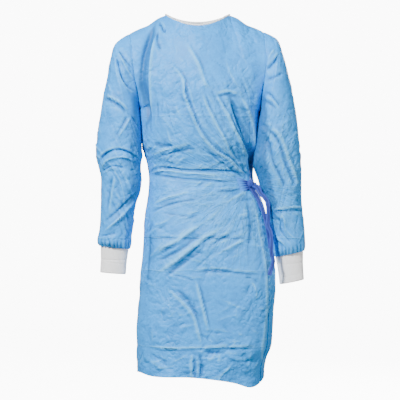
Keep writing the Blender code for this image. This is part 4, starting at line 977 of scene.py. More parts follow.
class Wire:
    """A number that a node gives out. An operator on it adds the Math node that does it."""

    def __init__(self, tree, socket):
        self.tree = tree
        self.socket = socket

    def math(self, operation, *others, swapped=False):
        node = self.tree.nodes.new("ShaderNodeMath")
        node.operation = operation
        values = (self, *others)
        if swapped:
            values = values[::-1]
        for place, value in zip(node.inputs, values):
            if isinstance(value, Wire):
                self.tree.links.new(value.socket, place)
            else:
                place.default_value = value
        return Wire(self.tree, node.outputs[0])

    def __add__(self, other):
        return self.math("ADD", other)

    def __radd__(self, other):
        return self.math("ADD", other, swapped=True)

    def __sub__(self, other):
        return self.math("SUBTRACT", other)

    def __rsub__(self, other):
        return self.math("SUBTRACT", other, swapped=True)

    def __mul__(self, other):
        return self.math("MULTIPLY", other)

    def __truediv__(self, other):
        return self.math("DIVIDE", other)

    def __abs__(self):
        return self.math("ABSOLUTE")

    def root(self):
        return self.math("SQRT")

    def within(self, low, high):
        """0 below low, 1 above high, and straight between."""
        return ((self - low) / (high - low)).math("MINIMUM", 1.0).math("MAXIMUM", 0.0)


class Finish:
    """One material and its node tree."""

    def __init__(self, name, **fixed):
        self.material = bpy.data.materials.new(name)
        self.material.use_nodes = True
        self.tree = self.material.node_tree
        self.shader = self.tree.nodes["Principled BSDF"]
        for socket, value in fixed.items():
            self.shader.inputs[socket.replace("_", " ")].default_value = value
        self.place = self.node("ShaderNodeTexCoord").outputs["Object"]

    def feed(self, socket, value):
        if isinstance(value, Wire):
            self.tree.links.new(value.socket, socket)
        elif isinstance(value, bpy.types.NodeSocket):
            self.tree.links.new(value, socket)
        else:
            socket.default_value = value

    def node(self, kind, settings=None, inputs=None):
        made = self.tree.nodes.new(kind)
        for key, value in (settings or {}).items():
            setattr(made, key, value)
        for key, value in (inputs or {}).items():
            self.feed(made.inputs[key], value)
        return made

    def wire(self, node, output=0):
        return Wire(self.tree, node.outputs[output])

    def noise(self, scale, detail=2.0, roughness=0.5, place=None):
        where = self.place if place is None else place
        inputs = {"Vector": where, "Scale": scale, "Detail": detail, "Roughness": roughness}
        return self.wire(self.node("ShaderNodeTexNoise", inputs=inputs), "Fac")

    def stretched(self, scale):
        """Object coordinates times a scale for each axis."""
        node = self.node("ShaderNodeVectorMath", {"operation": "MULTIPLY"}, {0: self.place, 1: scale})
        return node.outputs[0]

    def round_tape(self):
        """The share round the tape's profile, from its UV."""
        place = self.node("ShaderNodeTexCoord").outputs["UV"]
        return self.wire(self.node("ShaderNodeSeparateXYZ", inputs={0: place}), 0)

    def spots(self, scale):
        node = self.node("ShaderNodeTexVoronoi", {"feature": "F1"}, {"Vector": self.place, "Scale": scale})
        return self.wire(node, "Distance")

    def across_up(self):
        """The across (X), depth (Y) and up (Z) coordinates of the surface."""
        node = self.node("ShaderNodeSeparateXYZ", inputs={0: self.place})
        return tuple(self.wire(node, i) for i in range(3))

    def joined(self, x, y, z=0.0):
        return self.node("ShaderNodeCombineXYZ", inputs={0: x, 1: y, 2: z}).outputs[0]

    def value(self, name):
        return self.wire(self.node("ShaderNodeAttribute", {"attribute_name": name}), "Fac")

    def blend(self, share, a, b):
        """A colour between a and b."""
        node = self.node("ShaderNodeMix", {"data_type": "RGBA"}, {0: share, 6: a, 7: b})
        return node.outputs[2]

    def bump(self, height, distance, before=None):
        inputs = {"Height": height, "Distance": distance, "Strength": 1.0}
        if before is not None:
            inputs["Normal"] = before
        return self.node("ShaderNodeBump", inputs=inputs).outputs["Normal"]

    def set(self, **varying):
        for socket, value in varying.items():
            self.feed(self.shader.inputs[socket.replace("_", " ")], value)


def shade(colour, factor=1.0):
    """A colour with each of its parts times a factor, and opaque."""
    return (*(min(1.0, part * factor) for part in colour[:3]), 1.0)


def drag_lines(finish):
    """Thin creases that run together at the knot: ridges of a noise whose coordinates are the angle round
    the knot and the distance from it, on the front alone, fading out past the chest."""
    x, y, z = finish.across_up()
    dx = x - KNOT_AT[0]
    dz = z - KNOT_AT[1]
    away = (dx * dx + dz * dz).root()
    angle = dx.math("ARCTAN2", dz)
    streaks = finish.noise(1.0, 3.0, 0.6, finish.joined(angle * 11.0, away * 7.0))
    ridges = 1.0 - abs(streaks - 0.5).within(0.0, 0.07)
    near = away.within(0.30, 0.12) * away.within(0.015, 0.05)
    return ridges * near * y.within(0.02, -0.03)


def packing_lines(finish):
    """The creases that the folded gown keeps: a tent over each line's height, which wavers and fades
    along the line."""
    x, y, z = finish.across_up()
    total = None
    for number, (height, half_width, share) in enumerate(PACKING_LINES):
        waver = finish.noise(1.0, 2.0, 0.5, finish.joined(x * 9.0, y * 9.0, 5.0 * number))
        place = finish.joined(x * 14.0, y * 14.0, 3.0 * number + 1.0)
        full = finish.noise(1.0, 1.0, 0.5, place).within(0.35, 0.55)
        line = 1.0 - abs(z - height + (waver - 0.5) * 0.016).within(0.0, half_width)
        line = line * (full * 0.7 + 0.3) * share
        total = line if total is None else total + line
    return total


def gown_cloth_finish(cloth):
    """Nonwoven cloth: mottled, with painted shade in its hollows and painted highlight on its ridges, and
    paler along its drag lines and packing creases, partly from the whitening of folded cloth and partly as
    painted highlight; with drag lines, packing creases, crumpled facets, fibres and bonded points as bump. A
    facet is the distance of a noise from its middle value, which folds along sharp lines."""
    finish = Finish(
        "gown cloth",
        Sheen_Weight=cloth.sheen,
        Sheen_Roughness=0.45,
        Sheen_Tint=(0.45, 0.75, 1.0, 1.0),
        Specular_IOR_Level=0.36,
    )
    mottle = finish.noise(34.0, 4.0, 0.65)
    fine = finish.noise(170.0, 3.0, 0.65)
    mixed = (mottle * 0.65 + fine * 0.35).within(0.36, 0.64)
    plain = finish.blend(mixed, shade(cloth.colour, 0.84), shade(cloth.colour, 1.12))
    hollow = finish.value("hollow")
    drags = drag_lines(finish)
    packing = packing_lines(finish)
    # Painted highlight: paler on the ridges by the hollow value; along the drag lines and packing creases
    # partly the whitening of folded cloth and partly painted highlight
    highlight_share = hollow.within(0.46, 0.08) * 0.62 + drags * 0.30 + packing * 0.35
    colour = finish.blend(highlight_share.math("MINIMUM", 1.0), plain, shade(cloth.ridge_highlight_colour))
    # Painted shade: darker in the hollows by the hollow value
    colour = finish.blend(hollow.within(0.52, 1.0) * 0.85, colour, shade(cloth.hollow_shade_colour))
    fibres = finish.noise(1.0, 3.0, 0.6, finish.stretched((900.0, 900.0, 240.0)))
    points = finish.spots(620.0)
    patches = finish.noise(9.0, 2.0, 0.5).within(0.40, 0.60) * 0.7 + 0.3
    facets = None
    for scale, depth in CRUMPLE_SCALES:
        folded = abs(finish.noise(scale, 1.0, 0.5) - 0.5) * (depth * cloth.facet_scale)
        facets = folded if facets is None else facets + folded
    normal = finish.bump(drags, 0.0012)
    normal = finish.bump(packing, 0.0011, normal)
    normal = finish.bump(facets * patches, 1.0, normal)
    normal = finish.bump(fibres, 0.00012, normal)
    normal = finish.bump(points.within(0.0, 0.35), 0.00008, normal)
    finish.set(Base_Color=colour, Roughness=0.46 + fine * 0.20, Normal=normal)
    return finish.material


def knit_finish(trim):
    """Ribbed knit: loops along each rib as bump, with painted shade, slightly darker, between the ribs."""
    finish = Finish("cuff knit", Sheen_Weight=0.35, Sheen_Roughness=0.5, Specular_IOR_Level=0.25)
    valley = finish.value("valley")
    fuzz = finish.noise(420.0, 3.0, 0.7)
    loops = finish.noise(1.0, 2.0, 0.5, finish.stretched((700.0, 700.0, 1500.0)))
    colour = finish.blend(valley * 0.55 + fuzz * 0.15, shade(trim.cuff_colour), shade(trim.cuff_colour, 0.80))
    normal = finish.bump(loops, 0.00030)
    normal = finish.bump(fuzz, 0.00020, normal)
    finish.set(Base_Color=colour, Roughness=0.84 + fuzz * 0.12, Normal=normal)
    return finish.material


def strip_finish(trim):
    """Woven strip: two sets of fine threads as bump, and a faint mottle."""
    finish = Finish("neck strip", Sheen_Weight=0.25, Sheen_Roughness=0.5, Specular_IOR_Level=0.3)
    threads = finish.noise(1.0, 2.0, 0.5, finish.stretched((1600.0, 1600.0, 500.0)))
    cross = finish.noise(1.0, 2.0, 0.5, finish.stretched((500.0, 500.0, 1600.0)))
    mottle = finish.noise(120.0, 3.0, 0.6)
    colour = finish.blend(mottle.within(0.3, 0.7), shade(trim.strip_colour, 0.93), shade(trim.strip_colour))
    normal = finish.bump(threads, 0.00018)
    normal = finish.bump(cross, 0.00018, normal)
    finish.set(Base_Color=colour, Roughness=0.80 + mottle * 0.12, Normal=normal)
    return finish.material


def thread_finish(trim):
    """Sewing thread: twisted plies as slanted bump."""
    finish = Finish("sewing thread", Sheen_Weight=0.3, Specular_IOR_Level=0.4)
    plies = finish.noise(1.0, 1.0, 0.5, finish.stretched((2400.0, 2400.0, 900.0)))
    colour = finish.blend(plies, shade(trim.thread_colour), shade(trim.thread_colour, 0.8))
    finish.set(Base_Color=colour, Roughness=0.6 + plies * 0.15, Normal=finish.bump(plies, 0.00015))
    return finish.material


def tie_finish(trim):
    """The ties' darker cloth: the gown's own fibres and crumple, on tape with painted shade along its fold,
    and with painted shade in the gathered pleats' valleys and painted highlight on their tops.
    """
    finish = Finish("tie cloth", Sheen_Weight=0.25, Sheen_Roughness=0.45, Specular_IOR_Level=0.38)
    mottle = finish.noise(90.0, 3.0, 0.6)
    fibres = finish.noise(1.0, 3.0, 0.6, finish.stretched((900.0, 900.0, 240.0)))
    crumb = abs(finish.noise(190.0, 3.0, 0.55) - 0.5)
    colour = finish.blend(mottle.within(0.3, 0.7), shade(trim.tie_colour, 0.80), shade(trim.tie_colour, 1.25))
    colour = finish.blend(finish.value("tone"), shade(trim.gather_colour), colour)
    # Painted shade along the tape's fold, darker towards a third of the tie colour
    groove = 1.0 - abs(finish.round_tape() - GROOVE_AT).within(0.02, 0.10)
    colour = finish.blend(groove * 0.8, colour, shade(trim.tie_colour, 0.30))
    normal = finish.bump(crumb, 0.0014)
    normal = finish.bump(fibres, 0.00012, normal)
    finish.set(Base_Color=colour, Roughness=0.58 + mottle * 0.16, Normal=normal)
    return finish.material


FINISHES = {}


def finish_of(kind, make, settings):
    """The finish of that kind, made the first time that it is asked for."""
    if kind not in FINISHES:
        FINISHES[kind] = make(settings)
    return FINISHES[kind]


def settle(piece, slot, *nodes):
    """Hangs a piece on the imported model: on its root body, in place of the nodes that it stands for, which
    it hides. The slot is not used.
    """
    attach(piece, "root")
    if nodes:
        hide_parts(*nodes)


def stitches(name, starts, ends, outward, thickness, finish):
    """Short threads, each a four-sided spindle from its start to its end, bowed outwards in the middle."""
    run = ends - starts
    side = unit(np.cross(run, outward))
    share = np.array([0.0, 0.25, 0.75, 1.0])
    bow = np.array([-0.4, 0.5, 0.5, -0.4]) * thickness
    rings = []
    for a, b in ((1, 0), (0, 1), (-1, 0), (0, -1)):
        offset = (side * a + outward * b)[:, None] * thickness / 2
        spine = starts[:, None] + run[:, None] * share[:, None]
        rings.append(spine + outward[:, None] * bow[:, None] + offset)
    points = np.stack(rings, axis=2)
    count = len(starts)
    base = np.arange(count)[:, None] * 16
    faces = []
    for i in range(3):
        for j in range(4):
            k = (j + 1) % 4
            faces.append(base + np.array([i * 4 + j, i * 4 + k, i * 4 + 4 + k, i * 4 + 4 + j]))
    faces.append(base + np.array([3, 2, 1, 0]))
    faces.append(base + np.array([12, 13, 14, 15]))
    return mesh_piece(name, points.reshape(-1, 3), np.concatenate(faces), finish)


def stitch_row(points, normals, pitch, share, lift):
    """Starts and ends of stitches along a line, one in each pitch, and their outward directions."""
    ran = ran_along(points)
    count = max(2, int(ran[-1] / pitch))
    at = (np.arange(count) + 0.5) * ran[-1] / count
    lifted = points + normals * lift
    starts, ends = (read_rows(at + part * pitch * share / 2, ran, lifted) for part in (-1, 1))
    return starts, ends, unit(read_rows(at, ran, normals))


def sew(name, points, normals, cloth):
    """Stitches along a row of a piece's points, on its surface."""
    row = stitch_row(points, normals, cloth.stitch_length, STITCH_SHARE, cloth.thread_width * 0.4)
    finish = finish_of("gown_cloth thread", thread_finish, cloth)
    settle(stitches(name, *row, cloth.thread_width, finish), "gown_cloth")


# The panels' neck edges, which the binding follows: the least distance between its points, and how many
# rounds of smoothing it takes
NECK_EDGES = {}
NECK_POINTS_APART = 0.0012
NECK_SMOOTHING = 6


def cloth_piece(node, points, normals, hollow, cloth, closed=False):
    """A piece of the gown's cloth from its outer grid, in place of its node."""
    finish = finish_of("cloth", gown_cloth_finish, cloth)
    # The hollow value goes along as an attribute, by which the cloth's finish paints shade and highlight
    piece = cloth_shell(f"gown_{node}", points, normals, cloth.wall, finish, closed, {"hollow": hollow})
    settle(piece, "gown_cloth", node)
    return piece


def panel_grid(levels, starts, ends, columns):
    """Angles and levels of a panel's grid, whose rows run from a start angle to an end angle."""
    starts, ends = (np.broadcast_to(at, levels.shape)[:, None] for at in (starts, ends))
    angle = starts + (ends - starts) * np.linspace(0, 1, columns + 1)
    return angle, np.repeat(levels[:, None], columns + 1, axis=1)


def make_front(cloth):
    """The front panel, from side seam to side seam."""
    angle, level = panel_grid(panel_levels(), -90, 90, FRONT_COLUMNS)
    points, normals, hollow = body_panel(angle, level, ((1, False), (1, True), (0, True)), cloth)
    edge = int(FRONT_COLUMNS / 2 * (1 - NECK_SHARE))
    NECK_EDGES["front"] = points[-1, edge:-edge], normals[-1, edge:-edge]
    piece = cloth_piece("front", points, normals, hollow, cloth)
    sew("gown_front_hem_stitching", points[HEM_SEWN_ROW], normals[HEM_SEWN_ROW], cloth)


def make_inner_back(cloth):
    """The wearer's left back panel, from its side seam to its edge inside the wrap."""
    levels = panel_levels()
    angle, level = panel_grid(levels, SIDE, read(INNER_EDGE, "level", "angle", levels), INNER_COLUMNS)
    points, normals, hollow = body_panel(angle, level, ((1, False), (0, True)), cloth)
    corner = round(NECK_SHARE * 90 / (INNER_EDGE[-1].angle - 90) * INNER_COLUMNS)
    NECK_EDGES["inner"] = points[-1, corner:], normals[-1, corner:]
    piece = cloth_piece("back_inner", points, normals, hollow, cloth)
    sew("gown_inner_hem_stitching", points[HEM_SEWN_ROW], normals[HEM_SEWN_ROW], cloth)


def make_outer_back(cloth):
    """The wearer's right back panel, from its free edge to its side seam. It lies wrap_lift off the body,
    and comes down to edge_lift at its free edge and to nothing at the shoulder seam."""
    levels = panel_levels()
    angle, level = panel_grid(levels, read(FREE_EDGE, "level", "angle", levels), 270, OUTER_COLUMNS)
    from_edge = run_along(smooth_body(angle, level), 1, False)
    lift = wrap_lift(angle, level)
    lift = lift - np.maximum(lift - cloth.edge_lift, 0) * np.exp(-((from_edge / EDGE_SETTLES_OVER) ** 2))
    lift = lift * (1 - ease(*SHOULDER_SETTLES_LEVELS, level) * ease(*SHOULDER_SETTLES_ANGLES, angle))
    points, normals, hollow = body_panel(angle, level, ((1, True), (0, True)), cloth, lift)
    reach = 270 - FREE_EDGE[-1].angle
    corner = round((reach - (1 - NECK_SHARE) * 90) / reach * OUTER_COLUMNS)
    NECK_EDGES["outer"] = points[-1, :corner + 1], normals[-1, :corner + 1]
    piece = cloth_piece("back_outer", points, normals, hollow, cloth)
    sew("gown_outer_hem_stitching", points[HEM_SEWN_ROW], normals[HEM_SEWN_ROW], cloth)
    sew("gown_free_edge_stitching", points[:, EDGE_SEWN_COLUMN], normals[:, EDGE_SEWN_COLUMN], cloth)


def ring_grid(rings, turn):
    """Rings as ellipses round the middles of their outer and inner sides, and the middles, from the
    columns of a table of rings."""
    zero = np.zeros(len(rings["half_depth"]))
    outer = np.stack([rings["outer_x"], zero, rings["outer_z"]], axis=-1)
    inner = np.stack([rings["inner_x"], zero, rings["inner_z"]], axis=-1)
    middle = (outer + inner) / 2 + np.stack([zero, rings["middle_y"], zero], axis=-1)
    depth = np.stack([zero, -rings["half_depth"], zero], axis=-1)
    grid = middle[:, None] + np.cos(turn)[None, :, None] * ((outer - inner) / 2)[:, None]
    return grid + np.sin(turn)[None, :, None] * depth[:, None], middle


def outwards(grid, wanted):
    """The normals of a closed grid, on the side of the wanted directions."""
    normals = grid_normals(grid, closed=True)
    return -normals if np.sum(normals * wanted) < 0 else normals


def make_sleeve(side, cloth):
    """The sleeve's rings start on the armhole's edge, and the cloth is gathered into the cuff at the end.

    A row of gathers lifts the cloth by a power of (1 + cos(phase)) / 2 round the sleeve, times
    e^(-((distance from the cuff - middle) / reach)^2). The inner side comes over to the body or away from
    it by shift * e^(-((z - height) / reach)^2), and the body shades it there.
    """
    rings = SLEEVES[side]
    turn = np.arange(SLEEVE_COLUMNS) / SLEEVE_COLUMNS * 2 * math.pi
    at = np.linspace(0, len(rings) - 1, SLEEVE_ROWS + 1)
    keys = np.arange(len(rings))
    columns = {f: smooth_read(keys, [getattr(r, f) for r in rings], at) for f in Ring._fields}
    grid, middle = ring_grid(columns, turn)
    extra = armhole_loop(side, turn) - grid[0]
    grid = grid + extra[None] * (1 - ease(0, LOOP_FADES_OVER, at))[:, None, None]
    normals = outwards(grid, grid - middle[:, None])
    lift = large_creases(grid, normals, SLEEVE_CREASES[side]) * cloth.crease_scale * SLEEVE_CREASES_DEEPER
    down, left = (run_along(grid, 0, from_end) for from_end in (False, True))
    across = np.broadcast_to(turn / (2 * math.pi) * SLEEVE_GIRTH, down.shape)
    crumple = crumple_height(across, -down, SLEEVE_CRUMPLES, SLEEVE_SEEDS[side], SLEEVE_GIRTH)
    lift += crumple * cloth.crumple_scale
    lift *= ease(0, cloth.seam_fade, down) * ease(0, CUFF_FADE, left)
    short = cloth.gathers * turn + 1.3 * np.sin(3 * turn + 1) + 0.8 * np.sin(7 * turn)
    long = LONG_GATHERS * turn + 1.7 * np.sin(2 * turn + 0.6)
    for phase, gather in ((short, SHORT_GATHER), (long, LONG_GATHER)):
        pleat = cloth.gather_depth * gather.share * (0.5 + 0.5 * np.cos(phase)) ** gather.power
        lift += pleat * np.exp(-(((left - gather.middle) / gather.reach) ** 2))
    lift -= cloth.seam_roll * np.exp(-((down / SEAM_DIP_REACH) ** 2))
    inside = (1 - np.cos(turn)) / 2
    for settled_side, height, reach, shift in SLEEVE_LIES_ON:
        if settled_side == side:
            grid[..., 0] += shift * inside * np.exp(-(((grid[..., 2] - height) / reach) ** 2))
    points = grid + normals * lift[..., None]
    turned = outwards(points, normals)
    shaded = ease(*ARM_SHADE_STARTS, grid[..., 2]) * ease(*ARM_SHADE_ENDS, grid[..., 2])
    shaded = shaded * ease(*ARM_SHADE_ROUND, np.cos(turn))
    # Painted shade and highlight by the cavity of the lift, and painted shade where the body shades the
    # sleeve's inner side
    hollow = np.clip(cavity(lift, closed=True) + ARM_SHADE[side] * shaded, 0, 1)
    piece = cloth_piece(f"sleeve_{side}", points, turned, hollow, cloth, closed=True)
    sewn = [ring[SLEEVE_SEWN_ROW] for ring in (points, turned)]
    sewn = [np.concatenate([ring, ring[:1]]) for ring in sewn]
    sew(f"gown_armhole_{side}_stitching", *sewn, cloth)


def make_cuff(side, trim):
    """A ribbed tube: each ring is an ellipse, and the ribs lift it by rib_depth * cos(ribs * turn + slant).

    Soft wrinkles run part of the way round, at level + swing * sin(turn + 1.2). The cuff is drawn in by
    the sine of its share, and both its ends are turned in.
    """
    count = trim.ribs * RIB_COLUMNS
    turn = np.arange(count) / count * 2 * math.pi
    share = np.linspace(0, 1, CUFF_ROWS + 1)
    start = SLEEVES[side][-1]._replace(half_depth=CUFF_TOP_HALF_DEPTH)
    ends = zip(Ring._fields, start, CUFF_ENDS[side])
    grid, middle = ring_grid({f: first + (last - first) * share for f, first, last in ends}, turn)
    normals = outwards(grid, grid - middle[:, None])
    share = share[:, None]
    rib = np.cos(trim.ribs * turn + RIB_SLANT * np.sin(2 * share))
    lift = trim.rib_depth * rib
    part = 0.4 + 0.6 * np.cos(turn - 1.4) ** 2
    for wrinkle in CUFF_WRINKLES[side]:
        line = wrinkle.level + wrinkle.swing * np.sin(turn + 1.2)
        lift = lift - wrinkle.sink * np.exp(-(((share - line) / wrinkle.width) ** 2)) * part
    lift = lift - CUFF_DRAWN_IN * np.sin(math.pi * share)
    lift = lift - CUFF_END_TURN * np.exp(-(((1 - share) / CUFF_END_REACH) ** 2))
    lift = lift - CUFF_TOP_TURN * np.exp(-((share / CUFF_TOP_REACH) ** 2))
    points = grid + normals * lift[..., None]
    # Painted shade between the ribs: darker where the rib sinks, by this value
    valley = np.broadcast_to(0.5 - 0.5 * rib, lift.shape)
    finish = finish_of("knit", knit_finish, trim)
    values = {"valley": valley}
    piece = cloth_shell(f"gown_cuff_{side}", points, normals, trim.cuff_wall, finish, True, values)
    settle(piece, "cuff_knit", f"cuff_{side}")


def make_binding(cloth, trim):
    """The strip folded over the neck edge: a rounded profile carried from the outer back panel round the
    front to the inner one, with a row of stitches inside and outside.

    At the distance d along it, its thickness is puckered by 1 + 0.22 sin(d / 0.0016 + 2 sin(d / 0.03)).
    """
    edges = [NECK_EDGES[key] for key in ("outer", "front", "inner")]
    points, ups = (np.concatenate([edge[i] for edge in edges]) for i in (0, 1))
    apart = np.linalg.norm(np.diff(points, axis=0), axis=1)
    keep = np.concatenate([[True], apart > NECK_POINTS_APART])
    ran = ran_along(points[keep])
    at = np.linspace(0, ran[-1], BINDING_STATIONS)
    path, out = read_rows(at, ran, points[keep]), read_rows(at, ran, ups[keep])
    for line in (path, out):
        for _ in range(NECK_SMOOTHING):
            line[1:-1] = (line[:-2] + 2 * line[1:-1] + line[2:]) / 4
    run = unit(np.gradient(path, axis=0))
    out = unit(out - run * np.sum(out * run, axis=1, keepdims=True))
    beyond = np.cross(out, run)
    beyond *= np.sign(np.sum(beyond * (np.array(NECK_MIDDLE) - path), axis=1, keepdims=True))
    pucker = 1 + 0.22 * np.sin(at / 0.0016 + 2 * np.sin(at / 0.03))[:, None]
    low, high = -trim.binding_overlap, trim.binding_height
    half = trim.binding_thick / 2
    middle = -cloth.wall / 2
    outer = [(1.0, low), (1.05, low * 0.3), (1.1, high * 0.4), (0.95, high * 0.75), (0.45, high)]
    profile = np.array(outer + [(-a, b) for a, b in reversed(outer)])
    shaped = np.repeat(profile[None], len(at), axis=0)
    shaped[..., 0] = middle + shaped[..., 0] * half * pucker
    finish = finish_of("strip", strip_finish, trim)
    piece = carried_profile("gown_neck_binding", path, beyond, out, shaped, finish)
    settle(piece, "neck_strip", "neck_binding")
    line = path + beyond * (high * 0.12)
    rows = [
        stitch_row(line, out * sign, trim.stitch_length, NECK_STITCH_SHARE, half * 1.06 + sign * middle)
        for sign in (1, -1)
    ]
    sewn = [np.concatenate(parts) for parts in zip(*rows)]
    finish = finish_of("thread", thread_finish, trim)
    settle(stitches("gown_neck_stitching", *sewn, trim.thread_width, finish), "neck_strip")


def make_tab(cloth, trim):
    """The closing tab under the outer back panel at the neck, which shows past its free edge."""
    levels = np.linspace(TAB_LOW_LEVEL, TAB_TOP_LEVEL, TAB_ROWS)
    edge = read(FREE_EDGE, "level", "angle", levels)
    angle, level = panel_grid(levels, edge - TAB_SHOWS, edge + TAB_HIDDEN, TAB_COLUMNS - 1)
    points = smooth_body(angle, level)
    normals = grid_normals(points)
    lifted = np.maximum(wrap_lift(angle, level) - CLOTH_OVER_TAB - TAB_CLEAR, TAB_WALL + TAB_CLEAR)
    points = points + normals * lifted[..., None]
    piece = cloth_shell("gown_neck_tab", points, normals, TAB_WALL, finish_of("strip", strip_finish, trim))
    settle(piece, "neck_strip", "neck_tab")


def make_stretch(name, node, stretch, trim):
    """A stretch of tie on the body: rows from its lower to its upper edge, lifted by lengthwise pleats.

    Over v from -1 to 1 across it, a pleat is ((1 + cos(pleats pi v + 0.9 + 0.8 sin(2.1 v))) / 2)^0.8. A
    gathered stretch lies close at its start, and its pleats grow towards the knot.
    """
    angles = np.linspace(stretch.start, stretch.end, STRETCH_COLUMNS)
    half = np.linspace(stretch.start_half, stretch.end_half, STRETCH_COLUMNS)
    share = np.linspace(0, 1, STRETCH_COLUMNS)
    towards, start = np.ones(STRETCH_COLUMNS), 1.0
    if stretch.gathered:
        half = half * GATHER_TALLER
        towards, start = share, ease(0, 0.30, share)
    rows = np.linspace(-1, 1, STRETCH_ROWS)[:, None]
    level = level_at(angles, TIE_HEIGHT + rows * half)
    points = smooth_body(angles, level)
    normals = grid_normals(points)
    creases = crease_height(points[..., 0], points[..., 2], FRONT_CREASES)
    fan = 0.5 + 0.5 * np.cos(stretch.pleats * math.pi * rows + 0.9 + 0.8 * np.sin(2.1 * rows))
    edge = 1 - rows ** 6
    lift = (stretch.lift + TIE_WALL * edge) * (0.25 + 0.75 * start)
    lift = lift + np.maximum(creases, -0.0005) * 0.4 + trim.pleat_depth * fan ** 0.8 * edge * towards ** 0.7
    # On a gathered stretch the tone goes from the gathered colour at its start to the tie colour towards the
    # knot; the fan term gives painted shade in the pleats' valleys and painted highlight on their tops
    tone = np.clip(towards * 1.8 - 0.2 - 0.35 * (fan - 0.5), 0, 1)
    points = points + normals * lift[..., None]
    finish = finish_of("tie", tie_finish, trim)
    piece = cloth_shell(name, points, grid_normals(points), STRETCH_WALL, finish, values={"tone": tone})
    settle(piece, "tie_cloth", node)


def make_knot(trim):
    """The overhand knot: a creased lump with bands of tape that cross it at different slants.

    The lump is an ellipsoid times 1 + 0.12 cos(3 lon + 2 lat) sin(lat), less 0.16 |sin(4 lon + 3 lat)|^3
    sin^2(lat). A band is a curved strip of tape carried round an ellipse of the knot's own shape.
    """
    finish = finish_of("tie", tie_finish, trim)
    low, high = (np.array(c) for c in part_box("tie_knot"))
    middle = (low + high) / 2
    facing = math.radians(KNOT_ANGLE)
    out = unit(np.array([math.sin(facing), -math.cos(facing), 0.0]))
    across = unit(np.cross((0, 0, 1), out))
    up = np.cross(out, across)
    lat = np.linspace(0.02, math.pi - 0.02, KNOT_ROWS)[:, None]
    lon = np.arange(KNOT_COLUMNS)[None, :] / KNOT_COLUMNS * 2 * math.pi
    lump = 1 + 0.12 * np.cos(3 * lon + 2 * lat) * np.sin(lat)
    lump = lump - 0.16 * abs(np.sin(4 * lon + 3 * lat)) ** 3 * np.sin(lat) ** 2
    x = np.sin(lat) * np.cos(lon) * lump * KNOT_HALF[0] * KNOT_CORE
    y = np.sin(lat) * np.sin(lon) * lump * KNOT_HALF[1] * KNOT_CORE
    z = np.cos(lat) * np.ones_like(lon) * KNOT_HALF[2] * KNOT_TALLER
    grid = middle + x[..., None] * across + y[..., None] * out + z[..., None] * up
    faces = tube_faces(KNOT_ROWS, KNOT_COLUMNS)
    piece = mesh_piece("gown_tie_knot", grid.reshape(-1, 3), faces, finish, {"tone": np.ones(x.size)})
    settle(piece, "tie_cloth", "tie_knot")
    turn = np.arange(BAND_STATIONS) / BAND_STATIONS * 2 * math.pi
    bow = [(a, 0.0006 * (1 - a * a) - 0.0002 * math.cos(7 * a)) for a in np.linspace(-1, 1, BAND_POINTS)]
    loop = np.concatenate([bow, np.array(bow[::-1]) - (0.0, BAND_WALL)])
    _, quads = grid_faces(BAND_STATIONS, len(loop), True, ends_joined=True)
    for number, band in enumerate(KNOT_BANDS, 1):
        slant = math.radians(band.slant)
        side = across * math.cos(slant) + up * math.sin(slant)
        over = up * math.cos(slant) - across * math.sin(slant)
        ring = middle + side * (np.cos(turn) * KNOT_HALF[0])[:, None] * band.grow
        ring = ring + out * (np.sin(turn) * KNOT_HALF[1])[:, None] * band.grow
        ring = ring + over * (0.0012 * np.sin(2 * turn))[:, None]
        away = unit(ring - middle)
        rings = ring[:, None] + over * loop[:, :1] * band.half_width + away[:, None] * loop[:, 1:]
        tone = {"tone": np.ones(BAND_STATIONS * len(loop))}
        settle(mesh_piece(f"gown_knot_band_{number}", rings.reshape(-1, 3), quads, finish, tone), "tie_cloth")


def make_tail(name, node, route, turns, trim):
    """A hanging end of tape: a flat folded profile with a groove down its middle, carried along a smooth
    route. Its width turns from the picture plane, and its edges buckle a little.

    Over a from -1 to 1 across the tape, its upper side is (1 - a^8) / 2 - 0.45 e^(-(a / 0.22)^2) of the
    wall and its lower side -(1 - a^8) / 2 - 0.02. At the distance d along it, its edges buckle by
    0.0012 sin(d / 0.011 + 1.3) a^2.
    """
    points = np.array(route)
    ran = ran_along(points)
    at = np.linspace(0, ran[-1], TAIL_STATIONS)
    line = np.stack([smooth_read(ran, points[:, i], at) for i in range(3)], axis=-1)
    run = unit(np.gradient(line, axis=0))
    share = at / ran[-1]
    sway = 9 * np.sin(at / 0.017 + points[0, 0] * 90)
    turn = np.radians(turns.start + (turns.end - turns.start) * share + sway)
    wide = np.stack([np.cos(turn), np.sin(turn), np.zeros(len(at))], axis=-1)
    wide = unit(wide - run * np.sum(wide * run, axis=1, keepdims=True))
    a = np.linspace(-1, 1, TAIL_POINTS)
    top = np.stack([a, 0.5 * (1 - a ** 8) - 0.45 * np.exp(-((a / 0.22) ** 2))], axis=-1)
    low = np.stack([a[::-1], -0.5 * (1 - a[::-1] ** 8) - 0.02], axis=-1)
    profile = np.concatenate([top, low])
    cup = 0.0012 * np.sin(at / 0.011 + 1.3)[:, None] * profile[:, 0] ** 2
    narrow = 1 - 0.08 * np.sin(at / 0.021) ** 2 + TAIL_WIDER * np.exp(-((share / TAIL_WIDE_SHARE) ** 2))
    across = profile[:, 0] * trim.tie_width / 2 * narrow[:, None]
    shaped = np.stack([across, profile[:, 1] * TIE_WALL + cup], axis=-1)
    piece = carried_profile(name, line, np.cross(run, wide), wide, shaped, finish_of("tie", tie_finish, trim))
    settle(piece, "tie_cloth", node)


# Kinds of settings for the property groups
def a_length(label, about, default):
    return bpy.props.FloatProperty(name=label, description=about, default=default, unit="LENGTH")


def a_share(label, about, default):
    return bpy.props.FloatProperty(name=label, description=about, default=default, subtype="FACTOR")


def a_power(label, about, default):
    return bpy.props.FloatProperty(name=label, description=about, default=default, unit="POWER")


def a_number(label, about, default):
    return bpy.props.FloatProperty(name=label, description=about, default=default)


def a_count(label, about, default):
    return bpy.props.IntProperty(name=label, description=about, default=default)


